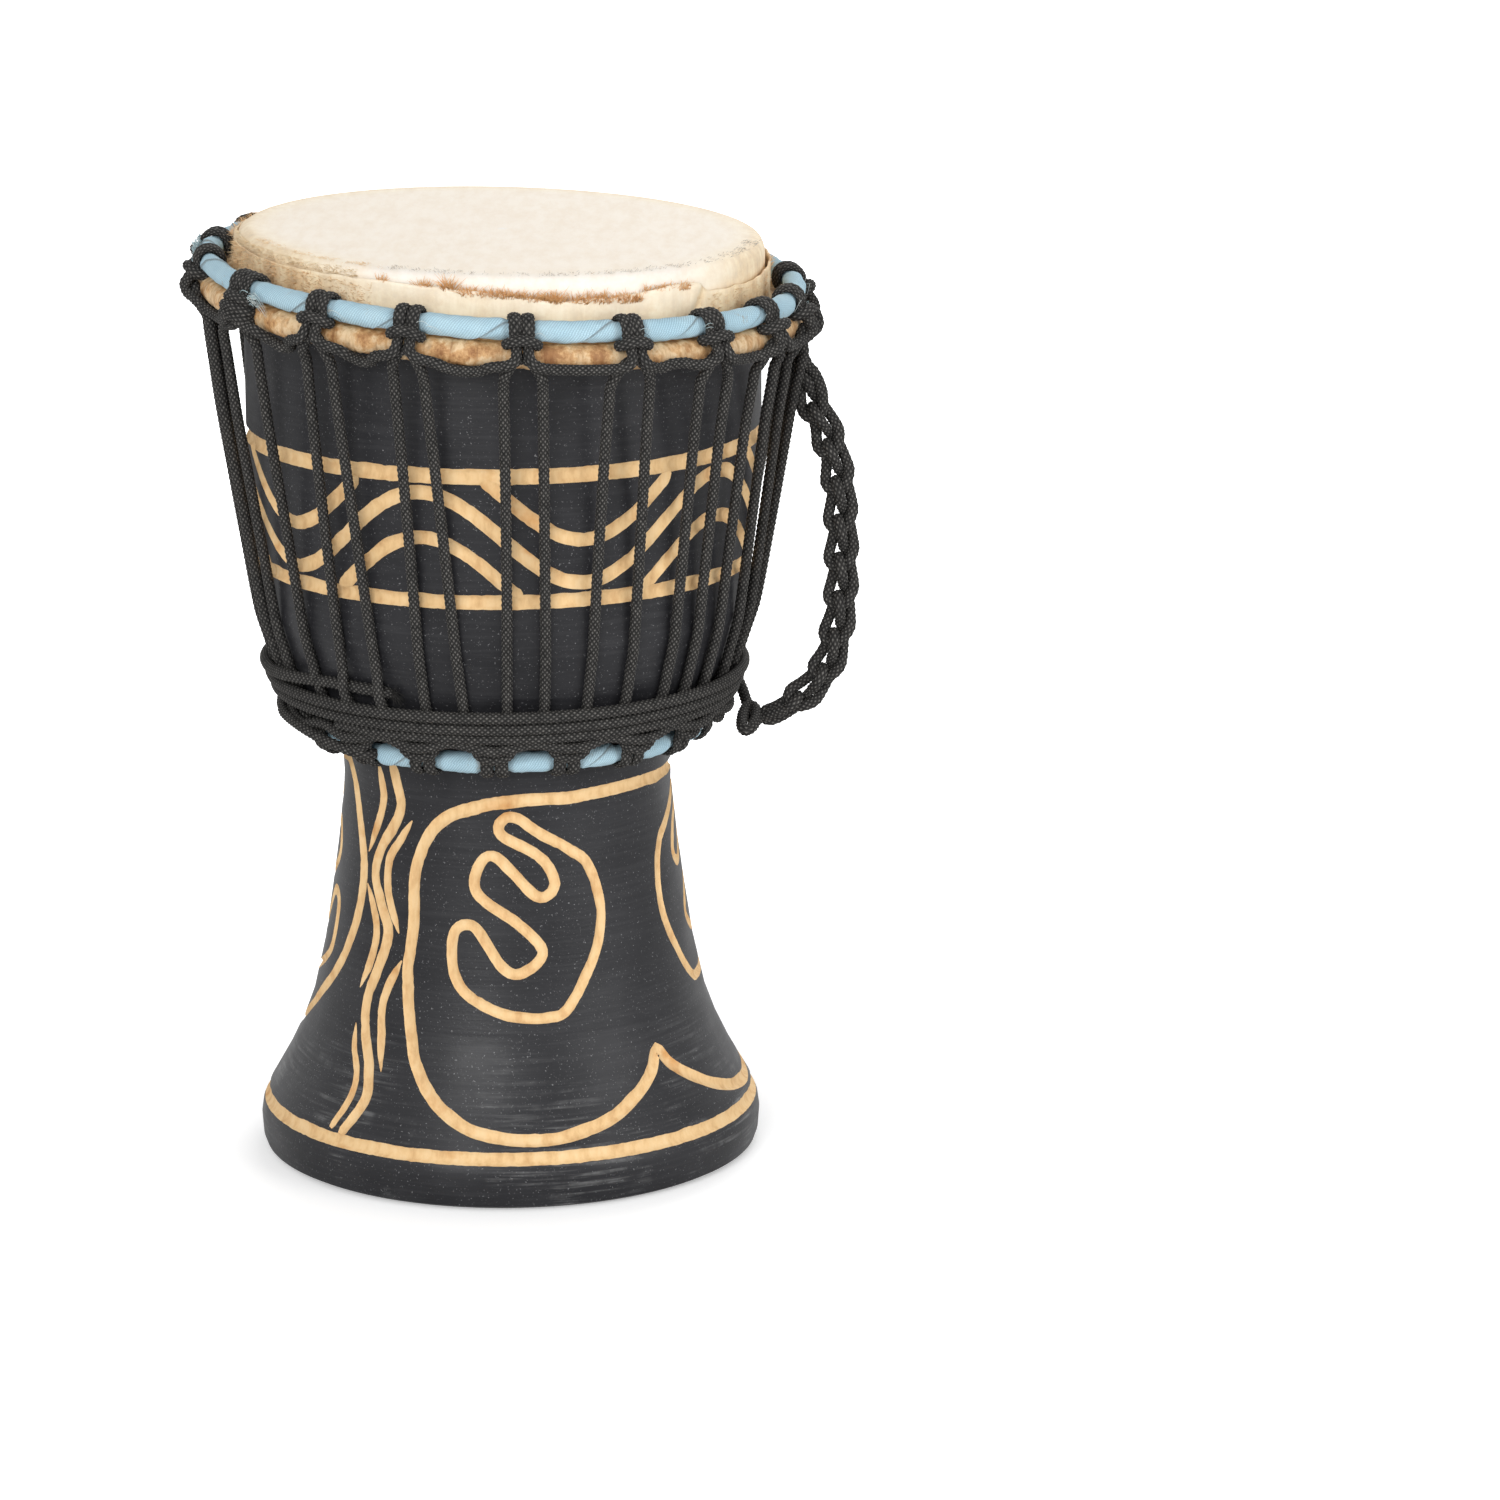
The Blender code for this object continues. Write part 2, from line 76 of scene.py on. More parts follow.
def at(azimuth, radius, height):
    """Points in mm at an azimuth in degrees from the front towards +X, with the drum's slant put in."""
    turn = np.radians(azimuth)
    x = radius * np.sin(turn)
    y = -radius * np.cos(turn)
    lean = x * math.cos(SLANT_TURN) + y * math.sin(SLANT_TURN)
    rise = np.interp(height, SLANT_HEIGHTS, SLANT_SLOPES) * lean
    return np.stack(np.broadcast_arrays(x, y, height + rise), axis=-1)


def smooth(points, closed=False, per=10):
    """A dense smooth curve through the points."""
    points = np.asarray(points, float)
    if closed:
        a, b, c, d = (np.roll(points, k, axis=0) for k in (1, 0, -1, -2))
    else:
        padded = np.vstack([2 * points[0] - points[1], points, 2 * points[-1] - points[-2]])
        a, b, c, d = padded[:-3], padded[1:-2], padded[2:-1], padded[3:]
    t = (np.arange(per) / per)[:, None, None]
    curve = 0.5 * (2 * b + (c - a) * t + (2 * a - 5 * b + 4 * c - d) * t ** 2 + (3 * b - a - 3 * c + d) * t ** 3)
    curve = curve.transpose(1, 0, 2).reshape(-1, 3)
    return curve if closed else np.vstack([curve, points[-1:]])


def evenly(line, step, closed=False):
    """An even number of equal steps of about this length along a dense line."""
    if closed:
        line = np.vstack([line, line[:1]])
    length = np.concatenate([[0], np.cumsum(np.linalg.norm(np.diff(line, axis=0), axis=1))])
    count = max(2, 2 * int(length[-1] / step / 2 + 0.5))
    places = np.linspace(0, length[-1], count + 1)
    found = np.stack([np.interp(places, length, line[:, k]) for k in range(3)], axis=1)
    return found[:-1] if closed else found


# The carving: rings and waves of the bowl, heights in mm and azimuths in degrees
BAND_TOP, BAND_LOW, FOOT_RING = 213.8, 177.7, 15.0
WAVE_PERIOD, WAVE_CREST = 72.0, -16.0
WAVE_MEAN, WAVE_AMP = 195.8, 13.2

# Interlaced strands of the foot: places (azimuth, height), width, tapers of the two ends
STRANDS = [
    ([(-41.4, 124.1), (-39.2, 116.5), (-37.5, 109.6), (-40.5, 103.8), (-44.9, 98.1), (-48.0, 89.9),
      (-44.5, 82.0), (-39.9, 74.4), (-40.5, 68.0), (-42.6, 62.0), (-45.2, 53.5), (-44.1, 44.9),
      (-39.4, 35.2), (-37.5, 26.4), (-41.5, 16.5)], 3.6, (5.0, 1.0)),
    ([(-48.4, 45.5), (-46.5, 39.0), (-42.8, 32.2), (-42.6, 25.5), (-45.3, 17.5)], 2.3, (7.0, 1.0)),
    ([(-47.9, 122.0), (-46.6, 116.0), (-46.3, 109.8), (-48.6, 103.0), (-52.4, 94.5)], 2.9, (7.0, 9.0)),
    ([(-32.6, 106.5), (-37.6, 99.5), (-41.6, 94.1), (-41.6, 86.5), (-38.5, 79.5), (-35.2, 73.5)], 2.9, (9.0, 9.0)),
    ([(-51.6, 85.5), (-47.0, 79.0), (-44.6, 72.6), (-45.4, 66.0), (-49.3, 55.5)], 2.9, (9.0, 9.0)),
    ([(-33.2, 66.0), (-37.2, 58.5), (-38.6, 51.5), (-37.6, 44.0), (-34.8, 34.5)], 2.9, (9.0, 9.0)),
]

# Left halves of the foot's two panel outlines and of the comb inside them
PANEL_CENTRE = 47.0
FRONT_PANEL = [(47.0, 114.8), (35.0, 114.6), (23.0, 114.2), (10.0, 114.4), (-0.4, 113.7), (-9.5, 112.0),
               (-17.9, 109.3), (-23.5, 105.4), (-27.2, 100.4), (-30.2, 92.5), (-30.3, 85.0), (-29.8, 78.1),
               (-30.2, 70.0), (-30.7, 63.0), (-28.7, 51.5), (-25.2, 39.6), (-19.7, 31.2), (-13.2, 25.3),
               (-5.0, 21.4), (6.0, 19.7), (17.0, 20.4), (28.0, 23.6), (37.0, 28.6), (43.5, 33.6), (47.0, 38.5)]
BACK_PANEL = [(47.0, 115.5), (27.0, 116.4), (7.0, 117.6), (-8.0, 118.9), (-17.0, 118.4), (-24.4, 106.2),
              (-30.8, 92.4), (-31.8, 81.4), (-28.8, 69.6), (-21.1, 56.4), (-10.0, 46.4), (-1.3, 39.4),
              (15.0, 31.0), (32.0, 28.0), (47.0, 35.0)]
COMB = [(5.7, 109.0), (0.9, 109.0), (-0.3, 104.5), (12.8, 97.8), (17.6, 89.8), (11.6, 86.4), (-1.5, 97.8),
        (-7.5, 95.5), (-8.1, 87.5), (5.7, 78.4), (12.8, 70.3), (5.7, 64.6), (-0.3, 66.9), (-8.7, 77.8),
        (-15.3, 76.1), (-15.3, 65.7), (-11.1, 58.9), (0.9, 53.1), (12.8, 52.0), (20.0, 54.3), (30.8, 70.3),
        (33.2, 82.9), (29.6, 94.4), (22.4, 99.6), (11.6, 105.3)]


def radius_at(height):
    """The shell's outer radius at this height."""
    return np.interp(height, [z for _, z in SHELL_LINE], [r for r, _ in SHELL_LINE])


def surface(azimuth, height):
    """Points and outward directions on the shell's outside."""
    turn = np.radians(azimuth)
    slope = np.arctan(radius_at(height + 0.5) - radius_at(height - 0.5))
    out = np.stack([np.sin(turn) * np.cos(slope), -np.cos(turn) * np.cos(slope), -np.sin(slope)], axis=-1)
    return at(azimuth, radius_at(height), height), out


def groove(places, width, depth, rng, bare, taper=(6.0, 6.0), loop=False):
    """A cutter for one carved line: a gouge's round floor under straight, slightly ragged sides."""
    per_degree = math.pi / 180 * float(radius_at(sum(height for _, height in places) / len(places)))
    flat = np.array([(azimuth * per_degree, height, 0.0) for azimuth, height in places])
    if loop:
        wrap = flat[-1] - flat[0]
        line = smooth(np.vstack([flat[-2] - wrap, flat, flat[1] + wrap]))[10:-10]
    else:
        line = smooth(flat)
    line = evenly(line, 1.25)
    if loop:
        line = line[:-1]
        step = np.vstack([line[1:], line[:1] + wrap]) - np.vstack([line[-1:] - wrap, line[:-1]])
    else:
        step = np.gradient(line, axis=0)
    step /= np.linalg.norm(step, axis=1)[:, None]
    count = len(line)
    length = 1.25 * np.arange(count)
    total = length[-1]
    seed = rng.uniform(0, 1000)
    wobble, chatter, left, right = (np.array([mathnoise.noise(Vector((s * scale, seed, row))) for s in length])
                                    for scale, row in ((0.16, 0), (0.55, 7), (0.9, 13), (0.9, 19)))
    if loop:
        wobble *= np.clip(np.minimum(length, total - length) / 12, 0, 1)
    near = np.ones(count)
    for reach, distance in ((taper[0], length), (taper[1], total - length)):
        if reach and not loop:
            near = np.minimum(near, np.sin(math.pi / 2 * np.clip((distance + 0.35) / reach, 0, 1)) ** 0.8)
    wide = width * (1 + 0.10 * wobble + 0.07 * chatter) * np.maximum(near, 0.12)
    deep = depth * (1 + 0.22 * chatter) * np.maximum(near, 0.25)
    sideways = np.stack([-step[:, 1], step[:, 0], 0 * length], axis=1)
    line = line + sideways * (0.22 * wobble)[:, None]
    point, out = surface(line[:, 0] / per_degree, line[:, 1])
    ahead = surface((line[:, 0] + step[:, 0] * 0.5) / per_degree, line[:, 1] + step[:, 1] * 0.5)[0]
    across = np.cross(out, ahead - point)
    across /= np.linalg.norm(across, axis=1)[:, None]
    ring = []
    for share in np.linspace(-1, 1, 7):
        ragged = 0.16 * (left * (share < -0.9) + right * (share > 0.9))
        ring.append(point + across * (share * wide / 2 + ragged)[:, None]
                    - out * (deep * (1 - abs(share) ** 2.6))[:, None])
    for share in (1, -1):
        ring.append(point + across * (share * (wide / 2 + 0.25))[:, None] + out * 1.3)
    verts = np.stack(ring, axis=1)
    sides = verts.shape[1]
    faces = []
    for i in range(count if loop else count - 1):
        j = (i + 1) % count
        faces += [(i * sides + k, i * sides + (k + 1) % sides, j * sides + (k + 1) % sides, j * sides + k)
                  for k in range(sides)]
    if not loop:
        faces += [tuple(range(sides))[::-1], tuple(range((count - 1) * sides, count * sides))]
    data = bpy.data.meshes.new("cutter")
    data.from_pydata((verts.reshape(-1, 3) * MM).tolist(), [], faces)
    mesh = bmesh.new()
    mesh.from_mesh(data)
    bmesh.ops.recalc_face_normals(mesh, faces=mesh.faces)
    mesh.to_mesh(data)
    mesh.free()
    data.materials.append(bare)
    return bpy.data.objects.new("cutter", data)


def wave(azimuth, shift):
    return WAVE_MEAN + shift + WAVE_AMP * math.cos(2 * math.pi * (azimuth - WAVE_CREST) / WAVE_PERIOD)


def band_grooves(rng, bare):
    """The two rings of the bowl and the waves between them."""
    made = []
    whole = range(0, 361, 6)
    for height, width in ((BAND_TOP, 4.5), (BAND_LOW, 4.3)):
        made.append(groove([(a, height) for a in whole], width, 1.05, rng, bare, loop=True))
    made.append(groove([(a, wave(a, 0)) for a in whole], 4.1, 1.0, rng, bare, loop=True))
    for k in range(5):
        crest = WAVE_CREST + k * WAVE_PERIOD
        valley = crest + WAVE_PERIOD / 2
        high = [(valley + a, wave(valley + a, 12.5)) for a in range(-23, 24, 4)]
        low = [(crest + a, wave(crest + a, -13.0)) for a in range(-22, 23, 4)]
        made.append(groove(high, 4.0, 1.0, rng, bare, taper=(3.0, 3.0)))
        made.append(groove(low, 4.0, 1.0, rng, bare, taper=(3.0, 3.0)))
    return made


def turned(places, by):
    return [(azimuth + by, height) for azimuth, height in places]


def mirrored(places):
    return [(2 * PANEL_CENTRE - azimuth, height) for azimuth, height in places]


def foot_grooves(rng, bare):
    """The foot's ring, and on its front and back the interlaced strands, a panel and the combs in it."""
    made = [groove([(a, FOOT_RING) for a in range(0, 361, 6)], 4.0, 0.9, rng, bare, loop=True)]
    for turn, panel in ((0, FRONT_PANEL), (180, BACK_PANEL)):
        for places, width, taper in STRANDS:
            made.append(groove(turned(places, turn), width, 0.9, rng, bare, taper=taper))
        outline = panel + mirrored(panel)[::-1][1:]
        made.append(groove(turned(outline, turn), 3.8, 0.95, rng, bare, loop=True))
        for comb in (COMB, mirrored(COMB)):
            made.append(groove(turned(comb + comb[:1], turn), 3.2, 0.9, rng, bare, loop=True))
    return made


def revolve(name, line, steps):
    azimuths = 360 * np.arange(steps) / steps
    verts = np.concatenate([at(azimuths, radius, height) for radius, height in line]) * MM
    rows = len(line)
    faces = []
    for i in range(rows):
        for j in range(steps):
            k = (j + 1) % steps
            faces.append((i * steps + j, i * steps + k, (i + 1) % rows * steps + k, (i + 1) % rows * steps + j))
    data = bpy.data.meshes.new(name)
    data.from_pydata(verts.tolist(), [], faces)
    mesh = bmesh.new()
    mesh.from_mesh(data)
    bmesh.ops.recalc_face_normals(mesh, faces=mesh.faces)
    mesh.to_mesh(data)
    mesh.free()
    return data


def dense(line, step):
    found = []
    for (r0, z0), (r1, z1) in zip(line, line[1:]):
        count = max(1, int(math.hypot(r1 - r0, z1 - z0) / step + 0.5))
        for k in range(count):
            found.append((r0 + (r1 - r0) * k / count, z0 + (z1 - z0) * k / count))
    found.append(line[-1])
    return found


def make_carved_shell(paint, bare):
    """The shell with its carving cut into it."""
    data = revolve("shell_blank", dense(SHELL_LINE, 2.2) + dense(SHELL_HOLLOW, 5), 216)
    data.materials.append(paint)
    blank = bpy.data.objects.new("shell_blank", data)
    bpy.context.scene.collection.objects.link(blank)
    rng = random.Random(4)
    group = bpy.data.collections.new("cutters")
    for cutter in band_grooves(rng, bare) + foot_grooves(rng, bare):
        group.objects.link(cutter)
    bpy.context.scene.collection.children.link(group)
    cut = blank.modifiers.new("cut", "BOOLEAN")
    cut.operation = "DIFFERENCE"
    cut.operand_type = "COLLECTION"
    cut.collection = group
    cut.solver = "MANIFOLD"
    cut.material_mode = "TRANSFER"
    data = bpy.data.meshes.new_from_object(blank.evaluated_get(bpy.context.evaluated_depsgraph_get()))
    for cutter in list(group.objects):
        bpy.data.objects.remove(cutter, do_unlink=True)
    bpy.data.collections.remove(group)
    bpy.data.objects.remove(blank, do_unlink=True)
    data.shade_smooth()
    data.set_sharp_from_angle(angle=math.radians(28))
    shell = bpy.data.objects.new("carved_shell", data)
    bpy.context.scene.collection.objects.link(shell)
    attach(shell, "root")
    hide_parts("shell")


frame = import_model()
nodes = frame["nodes"]


def frames(line, closed=False):
    """Two directions across the line at each point, with no twist between them."""
    if closed:
        along = np.roll(line, -1, axis=0) - np.roll(line, 1, axis=0)
    else:
        along = np.gradient(line, axis=0)
    along /= np.linalg.norm(along, axis=1)[:, None]
    side = np.empty_like(along)
    carried = np.cross(along[0], (0.3, 0.2, 0.9))
    for i, direction in enumerate(along):
        carried = carried - direction * carried.dot(direction)
        carried /= np.linalg.norm(carried)
        side[i] = carried
    up = np.cross(along, side)
    if closed:
        back = carried - along[0] * carried.dot(along[0])
        twist = math.atan2(back.dot(up[0]), back.dot(side[0]))
        turn = (-twist * np.arange(len(line)) / len(line))[:, None]
        side, up = side * np.cos(turn) + up * np.sin(turn), up * np.cos(turn) - side * np.sin(turn)
    return side, up


def press(line, offset, ring, share):
    """The rope's skin flattened to this share where the rope lies on a ring of this radius and height."""
    level = np.stack([-line[:, 1], line[:, 0], 0 * line[:, 0]], axis=1)
    level /= np.linalg.norm(level, axis=1)[:, None]
    away = line - at(np.degrees(np.arctan2(line[:, 0], -line[:, 1])), *ring)
    distance = np.linalg.norm(away, axis=1)[:, None]
    normal = (away / distance)[:, None]
    weight = np.clip((6.6 - distance) / 1.5, 0, 1)[:, None]
    sunk = (offset * normal).sum(axis=2, keepdims=True)
    beside = (offset * level[:, None]).sum(axis=2, keepdims=True)
    return offset - weight * (1 - share) * sunk * normal + weight * 0.25 * beside * level[:, None]


def sweep(line, radius, sides, closed=False, pressed=()):
    """Rings of points round the line; radius is one number, or one for each point of each ring."""
    side, up = frames(line, closed)
    turn = 2 * np.pi * np.arange(sides) / sides
    radius = np.broadcast_to(radius, (len(line), sides))[:, :, None]
    offset = radius * (side[:, None] * np.cos(turn)[:, None] + up[:, None] * np.sin(turn)[:, None])
    for ring, share in pressed:
        offset = press(line, offset, ring, share)
    return line[:, None] + offset


def caps(count, sides):
    """Faces that close a tube's two ends with the two points that follow its rings."""
    ring = np.arange(sides)
    after = (ring + 1) % sides
    first, last = count * sides, count * sides + 1
    end = (count - 1) * sides
    return np.concatenate([np.stack([np.full(sides, first), after, ring], axis=1),
                           np.stack([np.full(sides, last), end + ring, end + after], axis=1)])


ROPE = 3.06
BRAID_SIDES = 14
BRAID_STEP = 0.84
BRAID_LUMP = 0.16


def rope(points, closed=False, radius=ROPE / 2, pressed=(), per=10):
    """A braided rope: every second point of its skin stands up, so each cell of the braid is a low pyramid."""
    line = evenly(smooth(points, closed, per), BRAID_STEP, closed)
    count = len(line)
    row, column = np.meshgrid(np.arange(count), np.arange(BRAID_SIDES), indexing="ij")
    high = (row + column) % 2
    size = radius * (1 + BRAID_LUMP * (high - 0.65))
    if not closed:
        rounding = np.clip(np.minimum(row, count - 1 - row) / 2, 0, 1)
        size = size * (0.72 + 0.28 * rounding)
    verts = sweep(line, size, BRAID_SIDES, closed, pressed).reshape(-1, 3)
    a = row * BRAID_SIDES + column
    b = row * BRAID_SIDES + (column + 1) % BRAID_SIDES
    after = (row + 1) % count
    c = after * BRAID_SIDES + (column + 1) % BRAID_SIDES
    d = after * BRAID_SIDES + column
    if not closed:
        a, b, c, d, high = a[:-1], b[:-1], c[:-1], d[:-1], high[:-1]
    low = high == 0
    faces = [np.stack(corners, axis=1) for corners in (
        (a[low], b[low], c[low]), (a[low], c[low], d[low]),
        (a[~low], b[~low], d[~low]), (b[~low], c[~low], d[~low]))]
    # Tone 1 on the braid's raised points and 0 in its low ones: the rope's look paints shade in the low ones and a
    # highlight, with some wear, on the raised ones
    tone = ((row + column) % 2).reshape(-1).astype(float)
    if not closed:
        verts = np.vstack([verts, line[0], line[-1]])
        tone = np.append(tone, (0.4, 0.4))
        faces.append(caps(count, BRAID_SIDES))
    return verts, faces, tone, None


def thread(points, radius, tone=0.5, sides=4):
    """A thin thread or hair that runs out to a point."""
    line = np.asarray(points, float)
    share = np.linspace(0, 1, len(line))[:, None]
    verts = sweep(line, radius * (1 - 0.8 * share ** 2), sides).reshape(-1, 3)
    count = len(line)
    row, column = np.meshgrid(np.arange(count - 1), np.arange(sides), indexing="ij")
    after = (column + 1) % sides
    quads = np.stack([row * sides + column, row * sides + after, (row + 1) * sides + after,
                      (row + 1) * sides + column], axis=-1).reshape(-1, 4)
    verts = np.vstack([verts, line[0], line[-1]])
    return verts, [quads, caps(count, sides)], np.full(len(verts), tone), None


def grid(points, tone, turns=0, uv=None, closed=(True, True)):
    """A grid of faces, closed both ways; its last column joins its first one, turns rows further back."""
    rows, columns = points.shape[:2]
    i, j = np.meshgrid(np.arange(rows if closed[0] else rows - 1),
                       np.arange(columns if closed[1] else columns - 1), indexing="ij")
    last = j + 1 == columns
    right = np.where(last, 0, j + 1)
    here = np.where(last, (i - turns) % rows, i)
    beyond = np.where(last, (i + 1 - turns) % rows, (i + 1) % rows)
    quads = np.stack([i * columns + j, here * columns + right, beyond * columns + right,
                      ((i + 1) % rows) * columns + j], axis=-1).reshape(-1, 4)
    corners = None
    if uv is not None:
        along, around = uv
        u0, u1 = along[i], along[i + 1]
        v0, v1 = around[j], around[j + 1]
        corners = np.stack([u0, v0, u0, v1, u1, v1, u1, v0], axis=-1).reshape(-1, 2)
    return points.reshape(-1, 3), [quads], np.asarray(tone, float).reshape(-1), corners


def piece(name, parts, look, replaces=()):
    """One object made of parts, each of them points in mm, faces, a tone for each point and its map."""
    faces = []
    start = 0
    for verts, blocks, _, _ in parts:
        for block in blocks:
            faces += (block + start).tolist()
        start += len(verts)
    data = bpy.data.meshes.new(name)
    data.from_pydata(np.concatenate([part[0] for part in parts]) * MM, [], faces)
    data.attributes.new("tone", "FLOAT", "POINT").data.foreach_set("value", np.concatenate([part[2] for part in parts]))
    if parts[0][3] is not None:
        layer = data.uv_layers.new(name="weave")
        corners = np.concatenate([part[3] for part in parts])
        layer.uv.foreach_set("vector", corners.reshape(-1))
    data.shade_smooth()
    data.materials.append(look)
    item = bpy.data.objects.new(name, data)
    bpy.context.scene.collection.objects.link(item)
    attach(item, "root")
    for node in replaces:
        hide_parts(node)
    return item


# Rings and roll as (radius, height) in mm, as in the CAD source
CROWN_RING = (83.7, 258.8)
ROLL = (83.2, 251.5)
BOTTOM_RING = (56.4, 127.9)
BOTTOM_HITCHES = [-1.2 + 20 * k for k in range(18)]

# Crown hitches from the back's left side round by the front: the hitch's azimuth, the azimuths of its
# two upright ropes under the roll, and the azimuths of their feet
HITCHES = [(-174.3, -178.4, -170.2, -177.7, -168.3), (-155.0, -159.0, -151.0, -157.7, -148.3),
           (-135.5, -139.5, -131.5, -137.7, -128.3), (-116.5, -120.5, -112.5, -117.7, -108.3),
           (-98.5, -97.4, -93.2, -97.7, -88.3), (-80.5, -84.6, -76.4, -79.0, -71.0),
           (-53.6, -65.4, -51.8, -63.0, -50.0), (-33.6, -37.4, -31.6, -38.8, -28.1),
           (-15.3, -18.4, -12.6, -17.7, -7.7), (5.7, 2.3, 9.6, 2.3, 11.7), (26.4, 22.5, 30.6, 22.1, 32.7),
           (44.5, 42.3, 49.6, 44.0, 52.0), (62.1, 58.3, 66.2, 60.4, 71.7), (78.0, 74.0, 82.0, 82.3, 91.7),
           (101.0, 97.0, 105.0, 102.3, 111.7), (123.5, 119.5, 127.5, 122.3, 131.7),
           (144.5, 140.5, 148.5, 142.3, 151.7), (165.2, 161.2, 169.2, 162.3, 171.7)]

# Heights of the crown runs' middles, by the hitch on their left
RUN_HEIGHTS = {5: 246.5, 6: 245.2, 7: 246.0, 8: 246.9, 9: 249.0, 10: 250.2, 11: 248.8, 12: 248.8}
RUN_REACH = 5.25


def around(centre, distance, angle):
    """Radius and height at this distance from a ring's centre; degrees from outward, 90 up."""
    turn = math.radians(angle)
    return centre[0] + distance * math.cos(turn), centre[1] + distance * math.sin(turn)


def beside(azimuth, places):
    """Points from places of (sideways, radius, height) in mm beside an azimuth."""
    return [at(azimuth + math.degrees(sideways / radius), radius, height) for sideways, radius, height in places]


def both_sides(half):
    """The half's places mirrored first, in backward order, and then the half."""
    return [(-s, r, z) for s, r, z in half[::-1]] + half


def crown_half(rng):
    """Half a crown hitch, from behind the ring over it, down the roll's front and out to the run."""
    wrap = 3.75
    half = [(0.8, CROWN_RING[0] - wrap, CROWN_RING[1] - 1.6), (1.6, *around(CROWN_RING, wrap, 178))]
    for angle, sideways in ((146, 1.75), (112, 1.75), (78, 1.75), (44, 1.7), (12, 1.65), (-18, 1.6)):
        half.append((sideways, *around(CROWN_RING, wrap + 0.1, angle)))
    half += [(1.6, 88.6, 255.4), (1.6, 89.9, 253.6), (1.9, 90.8, 252.1), (3.0, 90.9, 250.8),
             (4.9, 90.2, 249.9), (6.9, 89.2, 249.4)]
    shift = rng.uniform(-0.2, 0.2)
    return [(s + shift, r, z) for s, r, z in half]


# How far the strap pulls the uprights beside it outwards at their heads: left and right one, by hitch
PULLED = {13: (0.0, 2.2), 14: (2.2, 0.0)}


def run_radius(height):
    return 83.2 + math.sqrt(max(RUN_REACH ** 2 - (ROLL[1] - height) ** 2, 2.6))


def crown_cradle_route(rng):
    """One closed rope: over the ring at each hitch, and along the outside of the roll between them."""
    points = []
    for k, hitch in enumerate(HITCHES):
        points += beside(hitch[0], both_sides(crown_half(rng)))
        here = hitch[0] + math.degrees(9.2 / 88)
        there = (HITCHES + [(HITCHES[0][0] + 360,)])[k + 1][0] - math.degrees(9.2 / 88)
        middle = RUN_HEIGHTS.get(k, rng.uniform(247.8, 250.0))
        for share, sag in ((0.0, 0.2), (0.2, 0.8), (0.5, 1.0), (0.8, 0.8), (1.0, 0.2)):
            height = 249.3 + (middle - 249.3) * sag
            radius = run_radius(height) + (0.9 if share in (0.0, 1.0) else 0.25)
            points.append(at(here + (there - here) * share, radius, height))
    return points


def crown_collar(hitch, lower=0.0, out=0.0):
    """The short strand that arches across a crown hitch, its ends tucked under the ring."""
    half = [(0.0, 90.8, 257.3), (2.1, 90.5, 257.0), (3.7, 89.4, 256.2), (4.3, 87.7, 255.5), (3.5, 85.9, 255.3),
            (2.4, 84.6, 255.0)]
    places = both_sides(half)[:len(half) - 1] + half
    return beside(hitch, [(s * (1 + 0.1 * out), r + out, z - lower) for s, r, z in places])


def knob_wrap(hitch, sideways):
    """One more turn of rope round the ring beside a crown hitch, its front end tucked into the knob."""
    places = [(sideways, *around(CROWN_RING, 3.8, angle)) for angle in (200, 165, 130, 95, 60, 25, -8)]
    return beside(hitch, places + [(0.9 * sideways, 89.6, 254.6), (0.5 * sideways, 91.2, 252.4), (0.0, 91.0, 251.0)])


def wall_line(distance):
    """The shell's outer line from the roll down to the lower ring, moved outwards by this distance."""
    line = np.array([place for place in SHELL_LINE if 131.0 < place[1] < 250.0][::-1])
    step = np.gradient(line, axis=0)
    step /= np.linalg.norm(step, axis=1)[:, None]
    return line + np.stack([-step[:, 1], step[:, 0]], axis=1) * distance


LACING_HEAD = (84.9, 243.4)
LACING_FOOT = 134.0


def lacing_radius(heights):
    """The lacing's radius at these heights, where it is pulled tight over the shell from under the roll."""
    wall = wall_line(ROPE / 2 + 0.15)
    heights = np.asarray(heights, float)
    tight = [LACING_HEAD] + [tuple(place) for place in wall if LACING_FOOT < place[1] < LACING_HEAD[1]]
    line = [tight[0]]
    start = 0
    while start < len(tight) - 1:
        r0, z0 = tight[start]
        rises = [(r - r0) / (z0 - z) for r, z in tight[start + 1:]]
        start += 1 + max(range(len(rises)), key=rises.__getitem__)
        line.append(tight[start])
    line = np.array(line + [tuple(wall[-2])])[::-1]
    return np.interp(heights, line[:, 1], line[:, 0])


